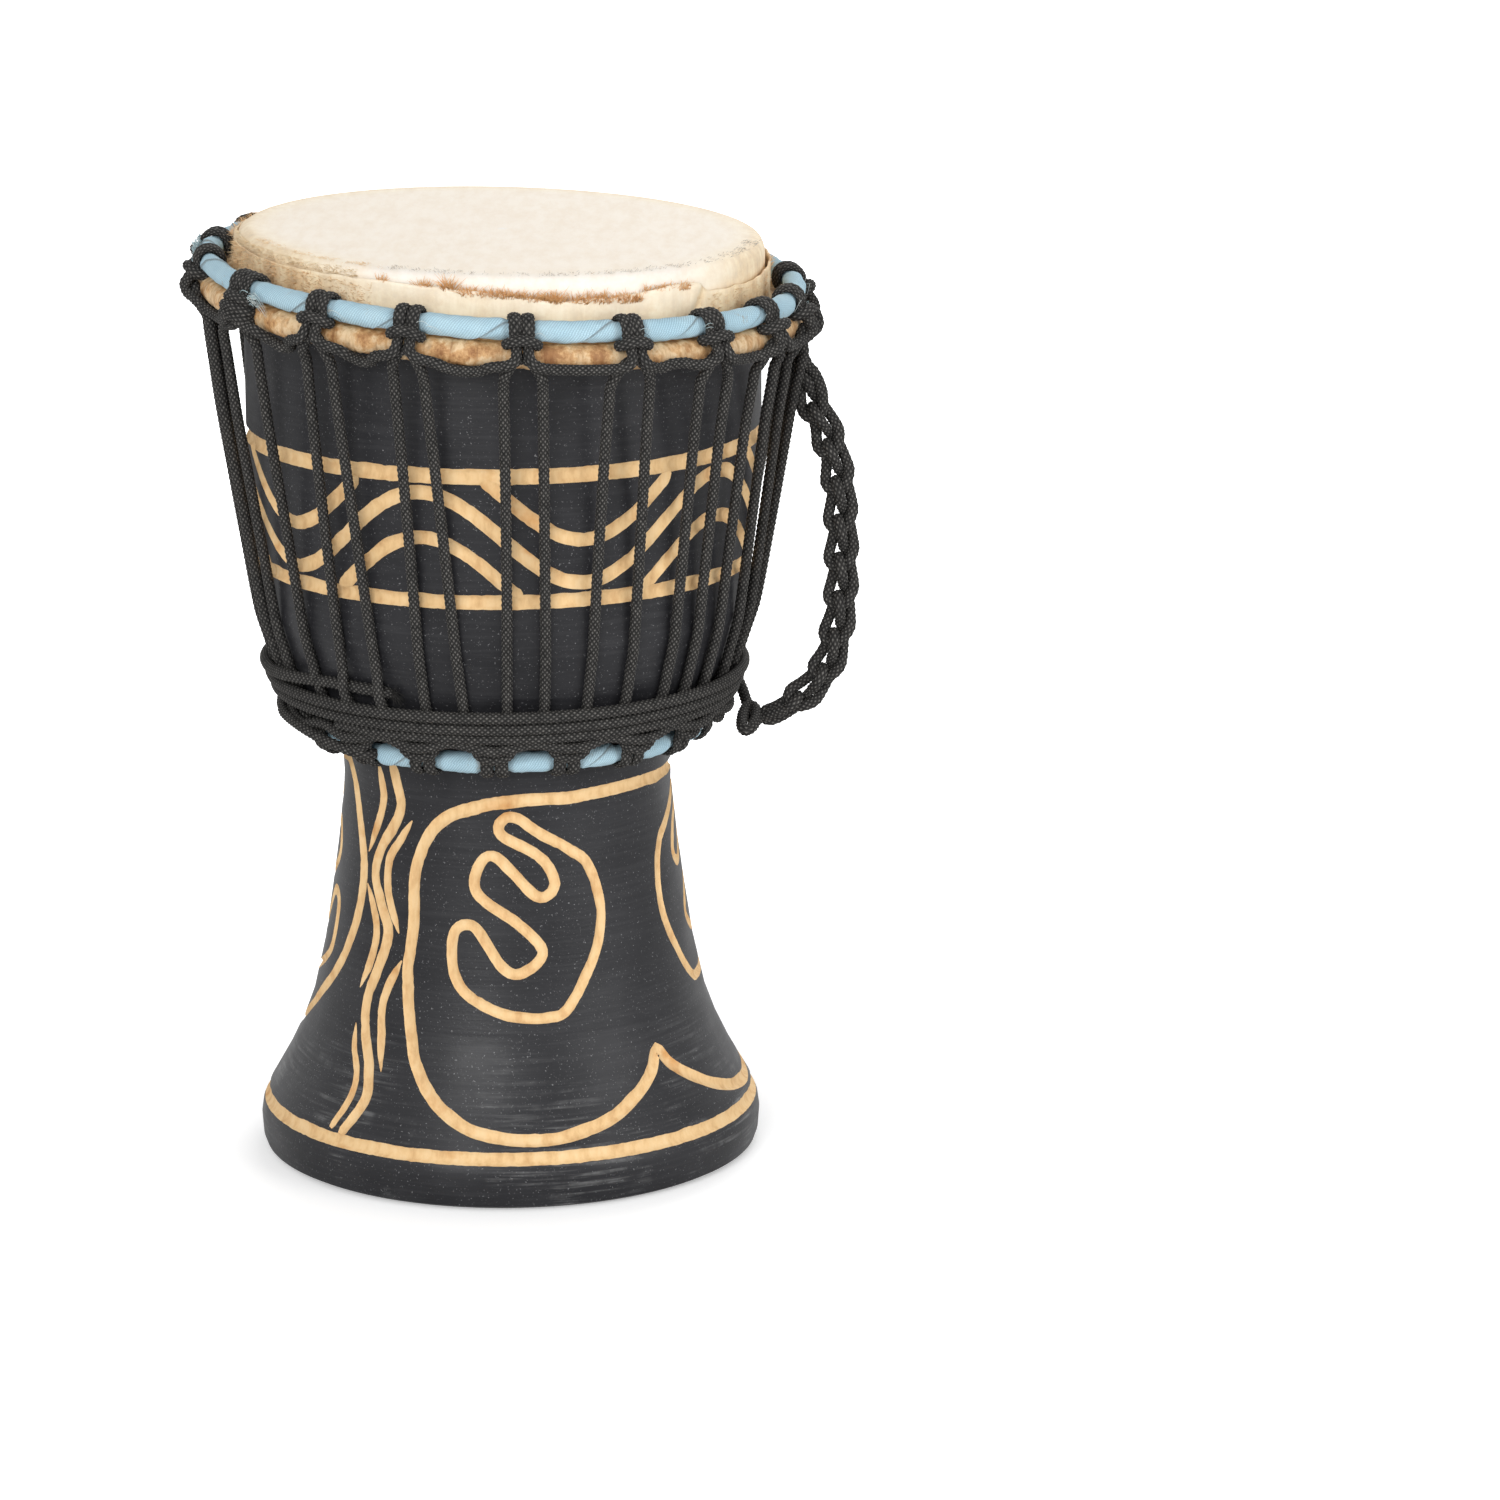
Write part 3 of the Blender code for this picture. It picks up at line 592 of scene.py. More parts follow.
def lacing_route(rng):
    """One closed rope: a bight behind each crown hitch and one behind each lower run."""
    points = []
    levels = np.arange(LACING_HEAD[1] - 5, LACING_FOOT + 1.5, -7.0)
    radii = lacing_radius(levels)

    def upright(top, foot, bulge, pull):
        shares = (LACING_HEAD[1] - levels) / (LACING_HEAD[1] - LACING_FOOT)
        azimuths = top + (foot - top) * shares
        sway = rng.uniform(-0.25, 0.25) * np.sin(math.pi * shares)
        lift = bulge * np.exp(-((levels - 149.0) / 5.5) ** 2) + pull * (1 - shares) ** 0.7
        return list(at(azimuths + sway, radii + lift, levels))

    def fork(hitch, end, pull):
        """The strand from the bight's top down to an upright's head."""
        away = math.radians(end - hitch) * 86
        sign = 1 if away > 0 else -1
        near = min(abs(away), 5.8)
        places = [(0.42 * near, 88.0, 250.7), (0.72 * near, 87.5, 248.5)]
        if abs(away) > 8:
            places += [(0.5 * abs(away), 85.9, 246.9), (0.85 * abs(away), 85.2, 245.6)]
        else:
            places.append((0.93 * near, 86.8, 246.4))
        return beside(hitch, [(sign * s, r, z) for s, r, z in places]) + [at(end, LACING_HEAD[0] + pull, LACING_HEAD[1])]

    for k, (hitch, left, right, left_foot, right_foot) in enumerate(HITCHES):
        bulge = 2.6 if k == 7 else 0.0
        pull = PULLED.get(k, (0.0, 0.0))
        points += upright(left, left_foot, bulge, pull[0])[::-1]
        points += fork(hitch, left, pull[0])[::-1]
        points += beside(hitch, [(0.0, 88.2, 251.7)])
        points += fork(hitch, right, pull[1])
        points += upright(right, right_foot, bulge, pull[1])
        after = HITCHES[(k + 1) % len(HITCHES)][3] + (360 if k + 1 == len(HITCHES) else 0)
        low = float(lacing_radius(LACING_FOOT))
        points.append(at(right_foot + 1.6, low, LACING_FOOT))
        points.append(at(after - 1.6, low, LACING_FOOT))
    return points


WINDING_ROW = 3.2
WINDING_ROPE = 3.36
WINDING_HEIGHTS = [(0.12, 146.6), (0.3, 145.4), (0.6, 144.6), (0.92, 143.7), (1.92, 140.1), (2.92, 136.9), (3.1, 136.7)]


def winding_route():
    """The rope's spare end: out from under two upright ropes, then down round the foot of the bowl."""
    points = []
    for azimuth, height, lift in ((-26.2, 148.8, 1.4), (-28.4, 149.0, 1.5), (-33.0, 149.2, 1.65),
                                  (-38.8, 149.3, 1.6), (-45.6, 149.1, 1.8), (-53.6, 148.4, 3.0),
                                  (-60.0, 147.9, 4.6), (-64.4, 147.5, 4.9)):
        points.append(at(azimuth, float(radius_at(height)) + lift, height))
    for azimuth in np.arange(-72.0, -29.0 - 3.06 * 360, -9.0):
        height = np.interp((-29.0 - azimuth) / 360, *zip(*WINDING_HEIGHTS))
        points.append(at(azimuth, float(lacing_radius(height)) + WINDING_ROW, height))
    return points


def bottom_wave(rng):
    """The lower cradle rope's runs: a closed rope that dips across each hitch."""
    points = []
    for hitch in BOTTOM_HITCHES:
        for away, radius, height in ((-4.0, 65.4, 133.9), (0.0, 65.6, 133.4), (4.0, 65.4, 133.9),
                                     (7.5, 64.7, 134.8), (10.0, 64.6, 135.1), (12.5, 64.7, 134.8)):
            points.append(at(hitch + away, radius, height + rng.uniform(-0.15, 0.15)))
    return points


def bottom_staple(hitch, rng):
    """A lower hitch: two strands from behind the runs round under the ring."""
    wrap = 3.45
    half = [(0.9, BOTTOM_RING[0] - wrap, BOTTOM_RING[1] + 1.2), (1.7, *around(BOTTOM_RING, wrap, 190))]
    for angle, sideways in ((222, 2.0), (254, 2.1), (286, 2.15), (318, 2.15), (348, 2.1), (372, 2.1)):
        half.append((sideways, *around(BOTTOM_RING, wrap + 0.1, angle)))
    half += [(2.3, 61.2, 131.2), (2.9, 62.6, 132.8), (4.4, 63.0, 134.4), (6.0, 62.2, 135.0)]
    shift = rng.uniform(-0.3, 0.3)
    return beside(hitch, [(s + shift, r, z) for s, r, z in both_sides(half)])


def bottom_collar(hitch):
    """The short strand across a lower hitch, under the runs' dip."""
    half = [(0.0, 63.0, 130.1), (2.4, 62.9, 130.5), (4.4, 62.5, 131.6), (5.6, 62.4, 133.0)]
    return beside(hitch, both_sides(half)[:len(half) - 1] + half)


# The strand that crosses down from the lower runs to a hitch: azimuth, radius, height
CROSSING = [(-80.0, 64.2, 136.4), (-75.5, 66.0, 135.6), (-69.5, 67.4, 134.2), (-59.0, 67.3, 132.9), (-51.3, 66.0, 131.1),
            (-44.0, 64.4, 129.4), (-39.5, 62.6, 128.4), (-37.6, 59.4, 128.0), (-37.0, 56.4, 127.8)]


def make_ropes(look):
    rng = random.Random(11)
    on_crown = [(CROWN_RING, 0.68)]
    crown = [rope(crown_cradle_route(rng), closed=True, pressed=on_crown)]
    for hitch in HITCHES:
        crown.append(rope(crown_collar(hitch[0], 0.0, -0.8 if abs(hitch[0]) > 75 else 0.0)))
        if hitch[0] == KNOB_HITCH:
            crown += [rope(crown_collar(hitch[0], 2.4, 1.2)), rope(crown_collar(hitch[0], 4.6, 1.5)),
                      rope(knob_wrap(hitch[0], -4.7), pressed=on_crown)]
    piece("crown_cradle", crown, look, ["crown_cradle_rope"])
    piece("lacing", [rope(lacing_route(rng), closed=True, per=8)], look, ["lacing_rope"])
    winding = [rope(winding_route(), radius=WINDING_ROPE / 2)]
    for _ in range(70):
        start = at(-25.9 + rng.gauss(0, 0.4), 67.3 + rng.uniform(-0.5, 0.9), 148.6 + rng.uniform(-1.2, 1.2))
        tip = at(-24.2 + rng.gauss(0, 1.1), 67.2 + rng.uniform(-0.2, 1.6), 147.9 + rng.gauss(0, 1.6))
        winding.append(thread([start, (start * 0.6 + tip * 0.4) * (1, 1, 1.002), tip], 0.11, 0.3, 3))
    piece("winding", winding, look, ["base_winding"])
    on_bottom = [(BOTTOM_RING, 0.62)]
    bottom = [rope(bottom_wave(rng), closed=True)]
    for hitch in BOTTOM_HITCHES:
        bottom += [rope(bottom_staple(hitch, rng), pressed=on_bottom), rope(bottom_collar(hitch))]
    bottom.append(rope([at(*place) for place in CROSSING]))
    piece("bottom_cradle", bottom, look, ["bottom_cradle_rope"])


KNOB_HITCH = -53.6
CLOTH_LAP = 28.0


def wound_cloth(centre, seed, hitches, pinched):
    """Cloth strip wound round a ring: each lap's edge stands on the lap before it, pinched under the hitches."""
    laps = int(2 * math.pi * centre[0] / CLOTH_LAP + 0.5)
    per_lap, sides = 52, 32
    share = np.concatenate([[0.0], np.linspace(0.02, 1.0, per_lap - 1)])
    lap = (np.arange(laps)[:, None] + share[None]).reshape(-1)
    thick = np.tile(np.where(share == 0.0, 0.38, 0.0) + 0.38 * np.clip((share - 0.62) / 0.3, 0, 1) ** 2, laps)
    turn = np.arange(sides) / sides
    azimuth = 360 * (lap[:, None] - turn[None]) / laps
    bumps = np.zeros(azimuth.shape)
    for frequency, size in ((23, 0.07), (61, 0.06), (140, 0.04)):
        phase = seed + frequency
        bumps += size * np.sin(np.radians(azimuth) * frequency + phase + 3 * np.sin(2 * np.pi * turn[None] * 2 + phase))
    from_hitch = np.min([abs((azimuth - hitch + 180) % 360 - 180) for hitch in hitches], axis=0)
    free = np.clip((from_hitch * math.pi / 180 * centre[0] - 3.3) / 2.2, 0, 1)
    free = free * free * (3 - 2 * free)
    reach = pinched + free * (2.95 - pinched + thick[:, None] + bumps)
    angle = -2 * np.pi * turn[None]
    points = at(azimuth, centre[0] + reach * np.cos(angle), centre[1] + reach * np.sin(angle))
    # Painted shade, with some staining, along each lap's edges, where one lap lies on the next
    edge = np.tile(np.exp(-(share / 0.03) ** 2) + np.where(share > 0.985, 0.6, 0), laps)
    # Painted shade, with some soiling, in a band where the cloth dips under a hitch rope
    pinch_shade_and_soil = 0.34 * np.clip(1 - abs(free - 0.5) * 2, 0, 1)
    tone = np.maximum(np.broadcast_to(edge[:, None], azimuth.shape) * 0.8, pinch_shade_and_soil)
    uv = (np.append(lap, laps) * CLOTH_LAP, np.arange(sides + 1) / sides * 2 * math.pi * 3.1)
    return grid(points, tone, turns=per_lap, uv=uv)


def make_cloth(look):
    crown = wound_cloth(CROWN_RING, 0.0, [hitch[0] for hitch in HITCHES], 2.6)
    piece("crown_cloth", [crown], look, ["crown_ring_cloth"])
    bottom = wound_cloth(BOTTOM_RING, 2.0, BOTTOM_HITCHES, 2.35)
    piece("bottom_cloth", [bottom], look, ["bottom_ring_cloth"])


SKIN = 0.64
SKIN_SIDE = 74.85
HEAD_MID = 270.65


def arc(centre, radius, start, end, count):
    turns = np.radians(np.linspace(start, end, count))
    return [(centre[0] + radius * math.cos(t), centre[1] + radius * math.sin(t)) for t in turns]


def skin_line():
    """The middle line of the skin from the head's middle over the edge, round the roll and up to the lip."""
    line = [(r, HEAD_MID) for r in np.arange(2.0, 70.1, 4.0)]
    line += arc((SKIN_SIDE - 3.25, HEAD_MID - 3.25), 3.25, 90, 0, 8)
    line += [(SKIN_SIDE, z) for z in np.arange(266.0, 256.0, -1.2)]
    line += arc(ROLL, 3.25, -125, 90, 34)
    line += [(81.4, 254.78), (79.6, 254.85), (77.9, 255.3), (76.7, 256.4), (76.25, 257.8)]
    line += [(76.15, z) for z in np.arange(258.8, 266.4, 0.8)]
    return np.array(line)


def value_noise(x, y, depth):
    """Smooth noise at each pair of the two rows of numbers."""
    return np.array([mathnoise.noise(Vector((a, b, depth))) for a, b in zip(x, y)])


# Height of the skin's trimmed lip, by azimuth
LIP = [(-180, 266.4), (-90, 266.6), (-60, 266.2), (-24, 267.8), (-7, 267.4), (3, 266.4), (14, 265.3), (31, 266.6),
       (44, 268.3), (48, 267.6), (51, 265.6), (65, 265.4), (95, 266.6), (180, 266.4)]


def lip_top(azimuths):
    return np.interp(azimuths, *zip(*LIP)) + 0.35 * value_noise(azimuths * 0.22, 0 * azimuths, 5)


def make_skin(look):
    """The drum's skin as one revolved sheet, gathered into wrinkles round the roll, its trimmed lip uneven."""
    line = skin_line()
    length = np.concatenate([[0], np.cumsum(np.linalg.norm(np.diff(line, axis=0), axis=1))])
    roll_start = length[line[:, 1] < 256.3][0]
    roll_end = length[(line[:, 0] > 79) & (line[:, 1] < 254.9)][-1]
    steps = 760
    azimuths = 180 - 360 * np.arange(steps) / steps
    x, y = 83 * np.sin(np.radians(azimuths)), 83 * np.cos(np.radians(azimuths))
    step = np.gradient(line, axis=0)
    step /= np.linalg.norm(step, axis=1)[:, None]
    out = np.stack([step[:, 1], -step[:, 0]], axis=1)
    out[length < roll_start] *= -1
    on_roll = np.clip((length - roll_start) / 3, 0, 1) * np.clip((roll_end + 2 - length) / 3, 0, 1)
    on_lip = np.clip((length - roll_end - 3) / 10, 0, 1)
    top = lip_top(azimuths)
    paler = 0.2 * np.clip(0.75 + 0.5 * np.sin(np.radians(azimuths - 50)), 0, 1)
    fine = np.zeros((len(line), steps))
    cracks = np.zeros((len(line), steps))
    for i, s in enumerate(length):
        if on_roll[i] > 0:
            folds = value_noise(x * 0.85, y * 0.85 + s * 0.03, 9 + s * 0.05)
            cracks[i] = on_roll[i] * np.clip(1 - abs(folds) / 0.07, 0, 1)
            fine[i] = on_roll[i] * (0.32 * value_noise(x * 0.26, y * 0.26, 3 + s * 0.03) + 0.26 * folds)
            fine[i] -= 0.28 * cracks[i]
        if on_lip[i] > 0:
            fine[i] += on_lip[i] * 0.6 * (0.5 + value_noise(x * 0.11, y * 0.11, 20 + s * 0.05))
            fine[i] += on_lip[i] * 0.16 * value_noise(x * 0.8, y * 0.8, 30 + s * 0.1)
            # The lip's crease: a dent with a ridge beside it, also darkened through the crack tone, which is painted
            # shade in the fold
            crease = 43 + 6.5 * (s - roll_end) / (length[-1] - roll_end)
            dent = on_lip[i] * np.exp(-((azimuths - crease) / 0.9) ** 2)
            fine[i] += 0.5 * on_lip[i] * np.exp(-((azimuths - crease + 2.6) / 1.6) ** 2) - 0.9 * dent
            cracks[i] += dent
    zone_ends = [0, 62, 67, 71, 78, roll_start, roll_start + 3, roll_end, roll_end + 5, length[-1]]
    front = np.interp(length, zone_ends, [0.06, 0.07, 0.10, 0.02, 0.02, 0.45, 0.8, 0.8, 0.34, 0.17])
    sides = np.interp(length, zone_ends, [0.06, 0.07, 0.14, 0.30, 0.38, 0.48, 0.8, 0.8, 0.55, 0.44])
    from_front = np.clip((abs(azimuths - 9) - 34) / 24, 0, 1)
    lowest = line[-1][1] - 9
    points = []
    tones = []
    for side in (0.5, -0.5):
        rows = range(len(line)) if side > 0 else range(len(line) - 1, -1, -1)
        for i in rows:
            face = side if length[i] < roll_start else -side
            radius = line[i][0] + out[i][0] * (SKIN * face + fine[i])
            height = line[i][1] + out[i][1] * (SKIN * face + fine[i])
            if on_lip[i] > 0:
                height = lowest + (height - lowest) * np.clip((top - lowest) / (line[-1][1] - lowest), 0.7, 1.2)
            points.append(at(azimuths, radius, height))
            zone = front[i] + (sides[i] - front[i]) * from_front
            # Cracks darken the tone; in the lip's crease this darkening is painted shade
            tones.append(zone * (1 - paler * (on_roll[i] > 0)) + 0.16 * cracks[i])
    verts, faces, tone, _ = grid(np.array(points), np.array(tones), closed=(False, True))
    ring = np.arange(steps)
    after = (ring + 1) % steps
    count = len(verts)
    last = count - steps
    verts = np.vstack([verts, at(0, 0, HEAD_MID + SKIN / 2), at(0, 0, HEAD_MID - SKIN / 2)])
    tone = np.append(tone, (0.0, 0.0))
    faces.append(np.stack([np.full(steps, count), after, ring], axis=1))
    faces.append(np.stack([np.full(steps, count + 1), last + ring, last + after], axis=1))
    skin = piece("skin", [(verts, faces, tone, None)], look, ["drumhead_skin"])


def tuft(rng, azimuth, radius, height, rise, out, reach, width, tone):
    """One hair from a point, growing by rise degrees over level, turned sideways by chance."""
    start = at(azimuth, radius, height)
    turn = math.radians(azimuth)
    outward = np.array((math.sin(turn), -math.cos(turn), 0)) * out
    level = np.array((math.cos(turn), math.sin(turn), 0)) * rng.gauss(0, 0.45)
    climb = math.radians(rise + rng.gauss(0, 16))
    grow = outward * math.cos(climb) + level + np.array((0, 0, math.sin(climb)))
    bend = np.array((rng.gauss(0, 0.25), rng.gauss(0, 0.25), rng.gauss(-0.12, 0.2)))
    size = reach * rng.uniform(0.6, 1.25)
    line = [start + grow * size * share + bend * size * share ** 2 for share in (0.0, 0.5, 1.0)]
    return thread(line, width, min(1.0, max(0.0, tone + rng.gauss(0, 0.05))), 3)


# Hair left on the skin: azimuths, radii, heights, degrees over level, outward or inward, length in mm,
# width in mm, tone, number
HAIR = [((-7, 10), (75.6, 76.8), (265.4, 266.4), 66, 1, 2.6, 0.12, 0.60, 330),
        ((8, 32), (75.6, 76.8), (264.6, 265.8), 66, 1, 2.6, 0.12, 0.60, 560),
        ((33, 45), (75.6, 76.8), (266.4, 267.6), 66, 1, 1.6, 0.11, 0.57, 190),
        ((-24, -22.5), (75.8, 76.8), (267.0, 267.4), 70, 1, 2.4, 0.12, 0.60, 26),
        ((-16, -13), (75.8, 76.8), (266.6, 267.2), 70, 1, 2.6, 0.12, 0.60, 44),
        ((-10, -8), (75.8, 76.8), (266.4, 267.0), 74, 1, 4.6, 0.12, 0.60, 60),
        ((-24, 84), (69.0, 74.0), (270.8, 271.0), 30, 1, 0.8, 0.05, 0.93, 620),
        ((-66, -24), (70.5, 74.0), (270.8, 271.0), 30, 1, 0.9, 0.05, 0.42, 260),
        ((-84, -30), (75.1, 75.3), (266.6, 270.0), 15, 1, 1.4, 0.075, 0.32, 760),
        ((-82, -26), (76.4, 76.9), (258.0, 266.0), 25, 1, 1.6, 0.075, 0.44, 900),
        ((-64, -20), (77.4, 78.4), (256.0, 258.4), 50, 1, 1.6, 0.09, 0.50, 420),
        ((48, 80), (76.4, 76.8), (257.0, 265.0), 30, 1, 1.2, 0.07, 0.42, 420),
        ((16, 48), (77.4, 78.2), (256.2, 258.6), 40, 1, 1.3, 0.07, 0.50, 200),
        ((84, 276), (76.2, 77.0), (264.6, 267.0), 50, 1, 1.8, 0.07, 0.50, 700)]


def make_hair(look):
    rng = random.Random(23)
    hairs = []
    for azimuths, radii, heights, rise, out, reach, width, tone, count in HAIR:
        clumps = [rng.uniform(*azimuths) for _ in range(count // 6 + 1)]
        for _ in range(count):
            azimuth = rng.choice(clumps) + rng.gauss(0, 0.5)
            hairs.append(tuft(rng, azimuth, rng.uniform(*radii), rng.uniform(*heights), rise, out, reach, width, tone))
    piece("hair", hairs, look)


def make_loose_threads(look):
    """Loose ends of the cloth strip: threads at the hitches, and a torn end left of the knob."""
    rng = random.Random(31)
    made = []

    def stray(azimuth, radius, height, reach, width, tone, drop):
        start = at(azimuth, radius, height)
        turn = math.radians(azimuth)
        away = np.array((math.sin(turn), -math.cos(turn), 0))
        level = np.array((math.cos(turn), math.sin(turn), 0)) * rng.choice((-1, 1))
        curl = rng.uniform(0.2, 0.7)
        line = []
        for share in np.linspace(0, 1, 7):
            line.append(start + level * reach * share + away * (0.5 + 0.9 * math.sin(3 * share + curl))
                        + np.array((0, 0, 1)) * reach * (curl * math.sin(4 * share) * 0.4 - drop * share ** 2))
        made.append(thread(line, width, tone, 4))

    for hitch in [entry[0] for entry in HITCHES]:
        for _ in range(2):
            stray(hitch + rng.uniform(-4, 4), 87.0, CROWN_RING[1] + rng.uniform(-2.0, 1.5), rng.uniform(3, 6),
                  0.07, rng.choice((0.0, 0.15, 1.0)), 0.3)
    for hitch in BOTTOM_HITCHES:
        stray(hitch + rng.uniform(-5, 5), 60.0, BOTTOM_RING[1] - rng.uniform(1.0, 2.4), rng.uniform(3, 5), 0.06, 0.9, 0.7)
    for _ in range(26):
        stray(KNOB_HITCH + rng.uniform(2.5, 5.5), 87.6, rng.uniform(255.5, 259.0), rng.uniform(2.5, 6), 0.09,
              rng.choice((0.0, 0.1, 0.2)), 0.5)
    for _ in range(170):
        stray(rng.uniform(-99, -83), rng.uniform(86.3, 87.2), rng.uniform(256.0, 261.5), rng.uniform(1.5, 4), 0.11,
              rng.uniform(0.0, 0.5), 0.5)
    piece("loose_threads", made, look)


STRAP_AZIMUTH = 85.7
STRAP_CHOSEN = [(86.1, 234.3), (87.7, 229.2), (89.8, 220.5), (93.4, 212.4), (96.4, 200.5), (97.4, 188.5),
                (97.6, 177.2), (97.5, 165.5), (96.4, 154.8), (93.6, 144.4), (88.4, 136.9), (83.0, 132.4)]
STRAP_END = [(78.6, 129.6), (75.0, 128.4)]
STRAP_LEAN = -88
LINK = 10.3

# One link of the chain: share of a link along it, then sideways and outwards in mm
LINK_POINTS = [(0.0, 0.0, -2.6), (0.16, -0.8, -0.8), (0.38, -1.3, 1.6), (0.75, -2.2, 2.5), (1.1, -2.3, 1.6),
               (1.4, -1.5, 0.2), (1.52, 0.0, -0.3), (1.4, 1.5, 0.2), (1.1, 2.3, 1.6), (0.75, 2.2, 2.5),
               (0.38, 1.3, 1.6), (0.24, 0.8, -0.8), (0.34, 0.2, -2.6), (0.66, 0.0, -3.1)]


def relaxed(points, spacing, rounds):
    """The points of a rope with fixed ends, moved until it lies smooth and clear of itself."""
    points = evenly(smooth(points), 0.95)
    first, second = np.triu_indices(len(points), k=int(spacing / 0.95 * 1.9))
    near = np.linalg.norm(points[first] - points[second], axis=1) < 9
    first, second = first[near], second[near]
    home = points.copy()
    for _ in range(rounds):
        middle = (points[:-2] + points[2:]) / 2
        points[1:-1] += 0.32 * (middle - points[1:-1])
        points[:, 0] += 0.02 * (home[:, 0] - points[:, 0])
        apart = points[first] - points[second]
        distance = np.maximum(np.linalg.norm(apart, axis=1), 0.01)
        push = (np.clip(spacing - distance, 0, None) / distance * 0.3)[:, None] * apart
        np.add.at(points, first, push)
        np.add.at(points, second, -push)
    return points


def level(azimuth, radius, height):
    turn = np.radians(azimuth)
    return np.stack(np.broadcast_arrays(radius * np.sin(turn), -radius * np.cos(turn), height), axis=-1)


def chain_lines():
    """The strap's rope, looped link through link along the strap's curve: the strap, and its last links."""
    plane = smooth([(r, z, 0.0) for r, z in STRAP_CHOSEN + STRAP_END])
    length = np.concatenate([[0], np.cumsum(np.linalg.norm(np.diff(plane, axis=0), axis=1))])
    links = int((length[-1] - 4) / LINK)
    pitch = (length[-1] - 4) / links
    flat = []
    for n in range(links):
        flat += [((n + along) * pitch, across, out) for along, across, out in LINK_POINTS]
    flat = relaxed(np.array(flat), 3.1, 240)
    turn = math.radians(STRAP_AZIMUTH)
    outwards = np.array((math.sin(turn), -math.cos(turn), 0))
    forwards = np.array((-math.cos(turn), -math.sin(turn), 0))
    place = np.clip(flat[:, 0], 0, length[-1])
    r = np.interp(place, length, plane[:, 0])
    z = np.interp(place, length, plane[:, 1])
    dr = np.interp(place + 1.5, length, plane[:, 0]) - np.interp(place - 1.5, length, plane[:, 0])
    dz = np.interp(place + 1.5, length, plane[:, 1]) - np.interp(place - 1.5, length, plane[:, 1])
    size = np.hypot(dr, dz)
    away = (-dz / size)[:, None] * outwards + (dr / size)[:, None] * np.array((0, 0, 1.0))
    lean = math.radians(STRAP_LEAN)
    face = away * math.cos(lean) + forwards * math.sin(lean)
    side = away * math.sin(lean) - forwards * math.cos(lean)
    line = level(STRAP_AZIMUTH, r, z) + side * flat[:, 1:2] + face * flat[:, 2:3]
    cut = np.nonzero(flat[:, 0] < (links - 1) * pitch)[0][-1] + 1
    return line[:cut], line[cut - 1:]


def knot_lines(chain_top):
    """The strap's start: up in front of the crown's run, over it and down behind it."""
    front = [at(87.6, 84.6, 238.4), at(89.0, 83.0, 242.4), at(90.0, 84.2, 245.6), at(90.6, 88.0, 246.0),
             at(90.8, 90.6, 248.6), at(90.9, 89.8, 251.6), at(91.2, 87.4, 252.8)]
    back = [at(93.0, 87.4, 252.8), at(93.3, 89.8, 251.6), at(93.2, 90.6, 248.6), at(92.8, 88.0, 245.6),
            at(91.6, 85.4, 242.6), at(89.6, 85.6, 238.4), level(87.4, 86.8, 234.0), level(86.4, 88.0, 230.0)]
    return [[chain_top] + front + back]


def tail_lines(chain_end):
    """The strap's spare end: out of its last link, round a small loop and up behind the winding's right end."""
    spare = [chain_end, level(86.6, 74.6, 128.2), level(88.0, 72.4, 126.6), level(92.0, 71.0, 126.6),
             level(97.0, 70.6, 128.6), level(103.0, 70.3, 131.8), level(110.0, 70.2, 135.4), level(116.5, 70.2, 139.4),
             level(121.3, 71.0, 143.6), level(124.6, 71.6, 147.4), level(126.4, 71.0, 150.2), level(127.3, 69.2, 151.3),
             level(127.6, 67.6, 149.6), level(127.7, 66.3, 146.4), level(127.8, 65.1, 143.2)]
    knob = [level(84.6 + 6.0 * math.sin(turn), 71.0 + 2.1 * math.cos(turn), 128.4 + 1.9 * math.sin(turn))
            for turn in np.radians(np.arange(0, 360, 45))]
    return spare, knob


def make_strap(look):
    line, last_links = chain_lines()
    strap = piece("strap", [rope(line, radius=1.62, per=2)], look, ["strap_braid"])
    lower = piece("strap_last_links", [rope(last_links, radius=1.62, per=2)], look, ["strap_lower_knot"])
    upper = piece("strap_start", [rope(places) for places in knot_lines(line[0])], look,
                  ["strap_upper_knot"])
    spare, knob = tail_lines(last_links[-1])
    tail = piece("strap_tail_rope", [rope(spare, radius=1.7), rope(knob, closed=True, radius=1.7)], look,
                 ["strap_tail"])
    route = [tuple(level(STRAP_AZIMUTH, r, z) * MM) for r, z in STRAP_CHOSEN]


def new_material(name):
    made = bpy.data.materials.new(name)
    made.use_nodes = True
    tree = made.node_tree
    shader = tree.nodes["Principled BSDF"]
    place = tree.nodes.new("ShaderNodeTexCoord").outputs["Object"]
    return made, tree, shader, place


def noise(tree, place, scale, detail=4.0, roughness=0.55):
    node = tree.nodes.new("ShaderNodeTexNoise")
    tree.links.new(place, node.inputs["Vector"])
    node.inputs["Scale"].default_value = scale
    node.inputs["Detail"].default_value = detail
    node.inputs["Roughness"].default_value = roughness
    return node.outputs["Fac"]


def ramp(tree, value, stops):
    node = tree.nodes.new("ShaderNodeValToRGB")
    tree.links.new(value, node.inputs["Fac"])
    band = node.color_ramp
    while len(band.elements) < len(stops):
        band.elements.new(0.5)
    for element, (position, colour) in zip(band.elements, stops):
        element.position = position
        element.color = (*colour, 1.0)
    return node.outputs["Color"]


def bump(tree, shader, value, strength, distance):
    node = tree.nodes.new("ShaderNodeBump")
    node.inputs["Strength"].default_value = strength
    node.inputs["Distance"].default_value = distance
    tree.links.new(value, node.inputs["Height"])
    tree.links.new(node.outputs["Normal"], shader.inputs["Normal"])


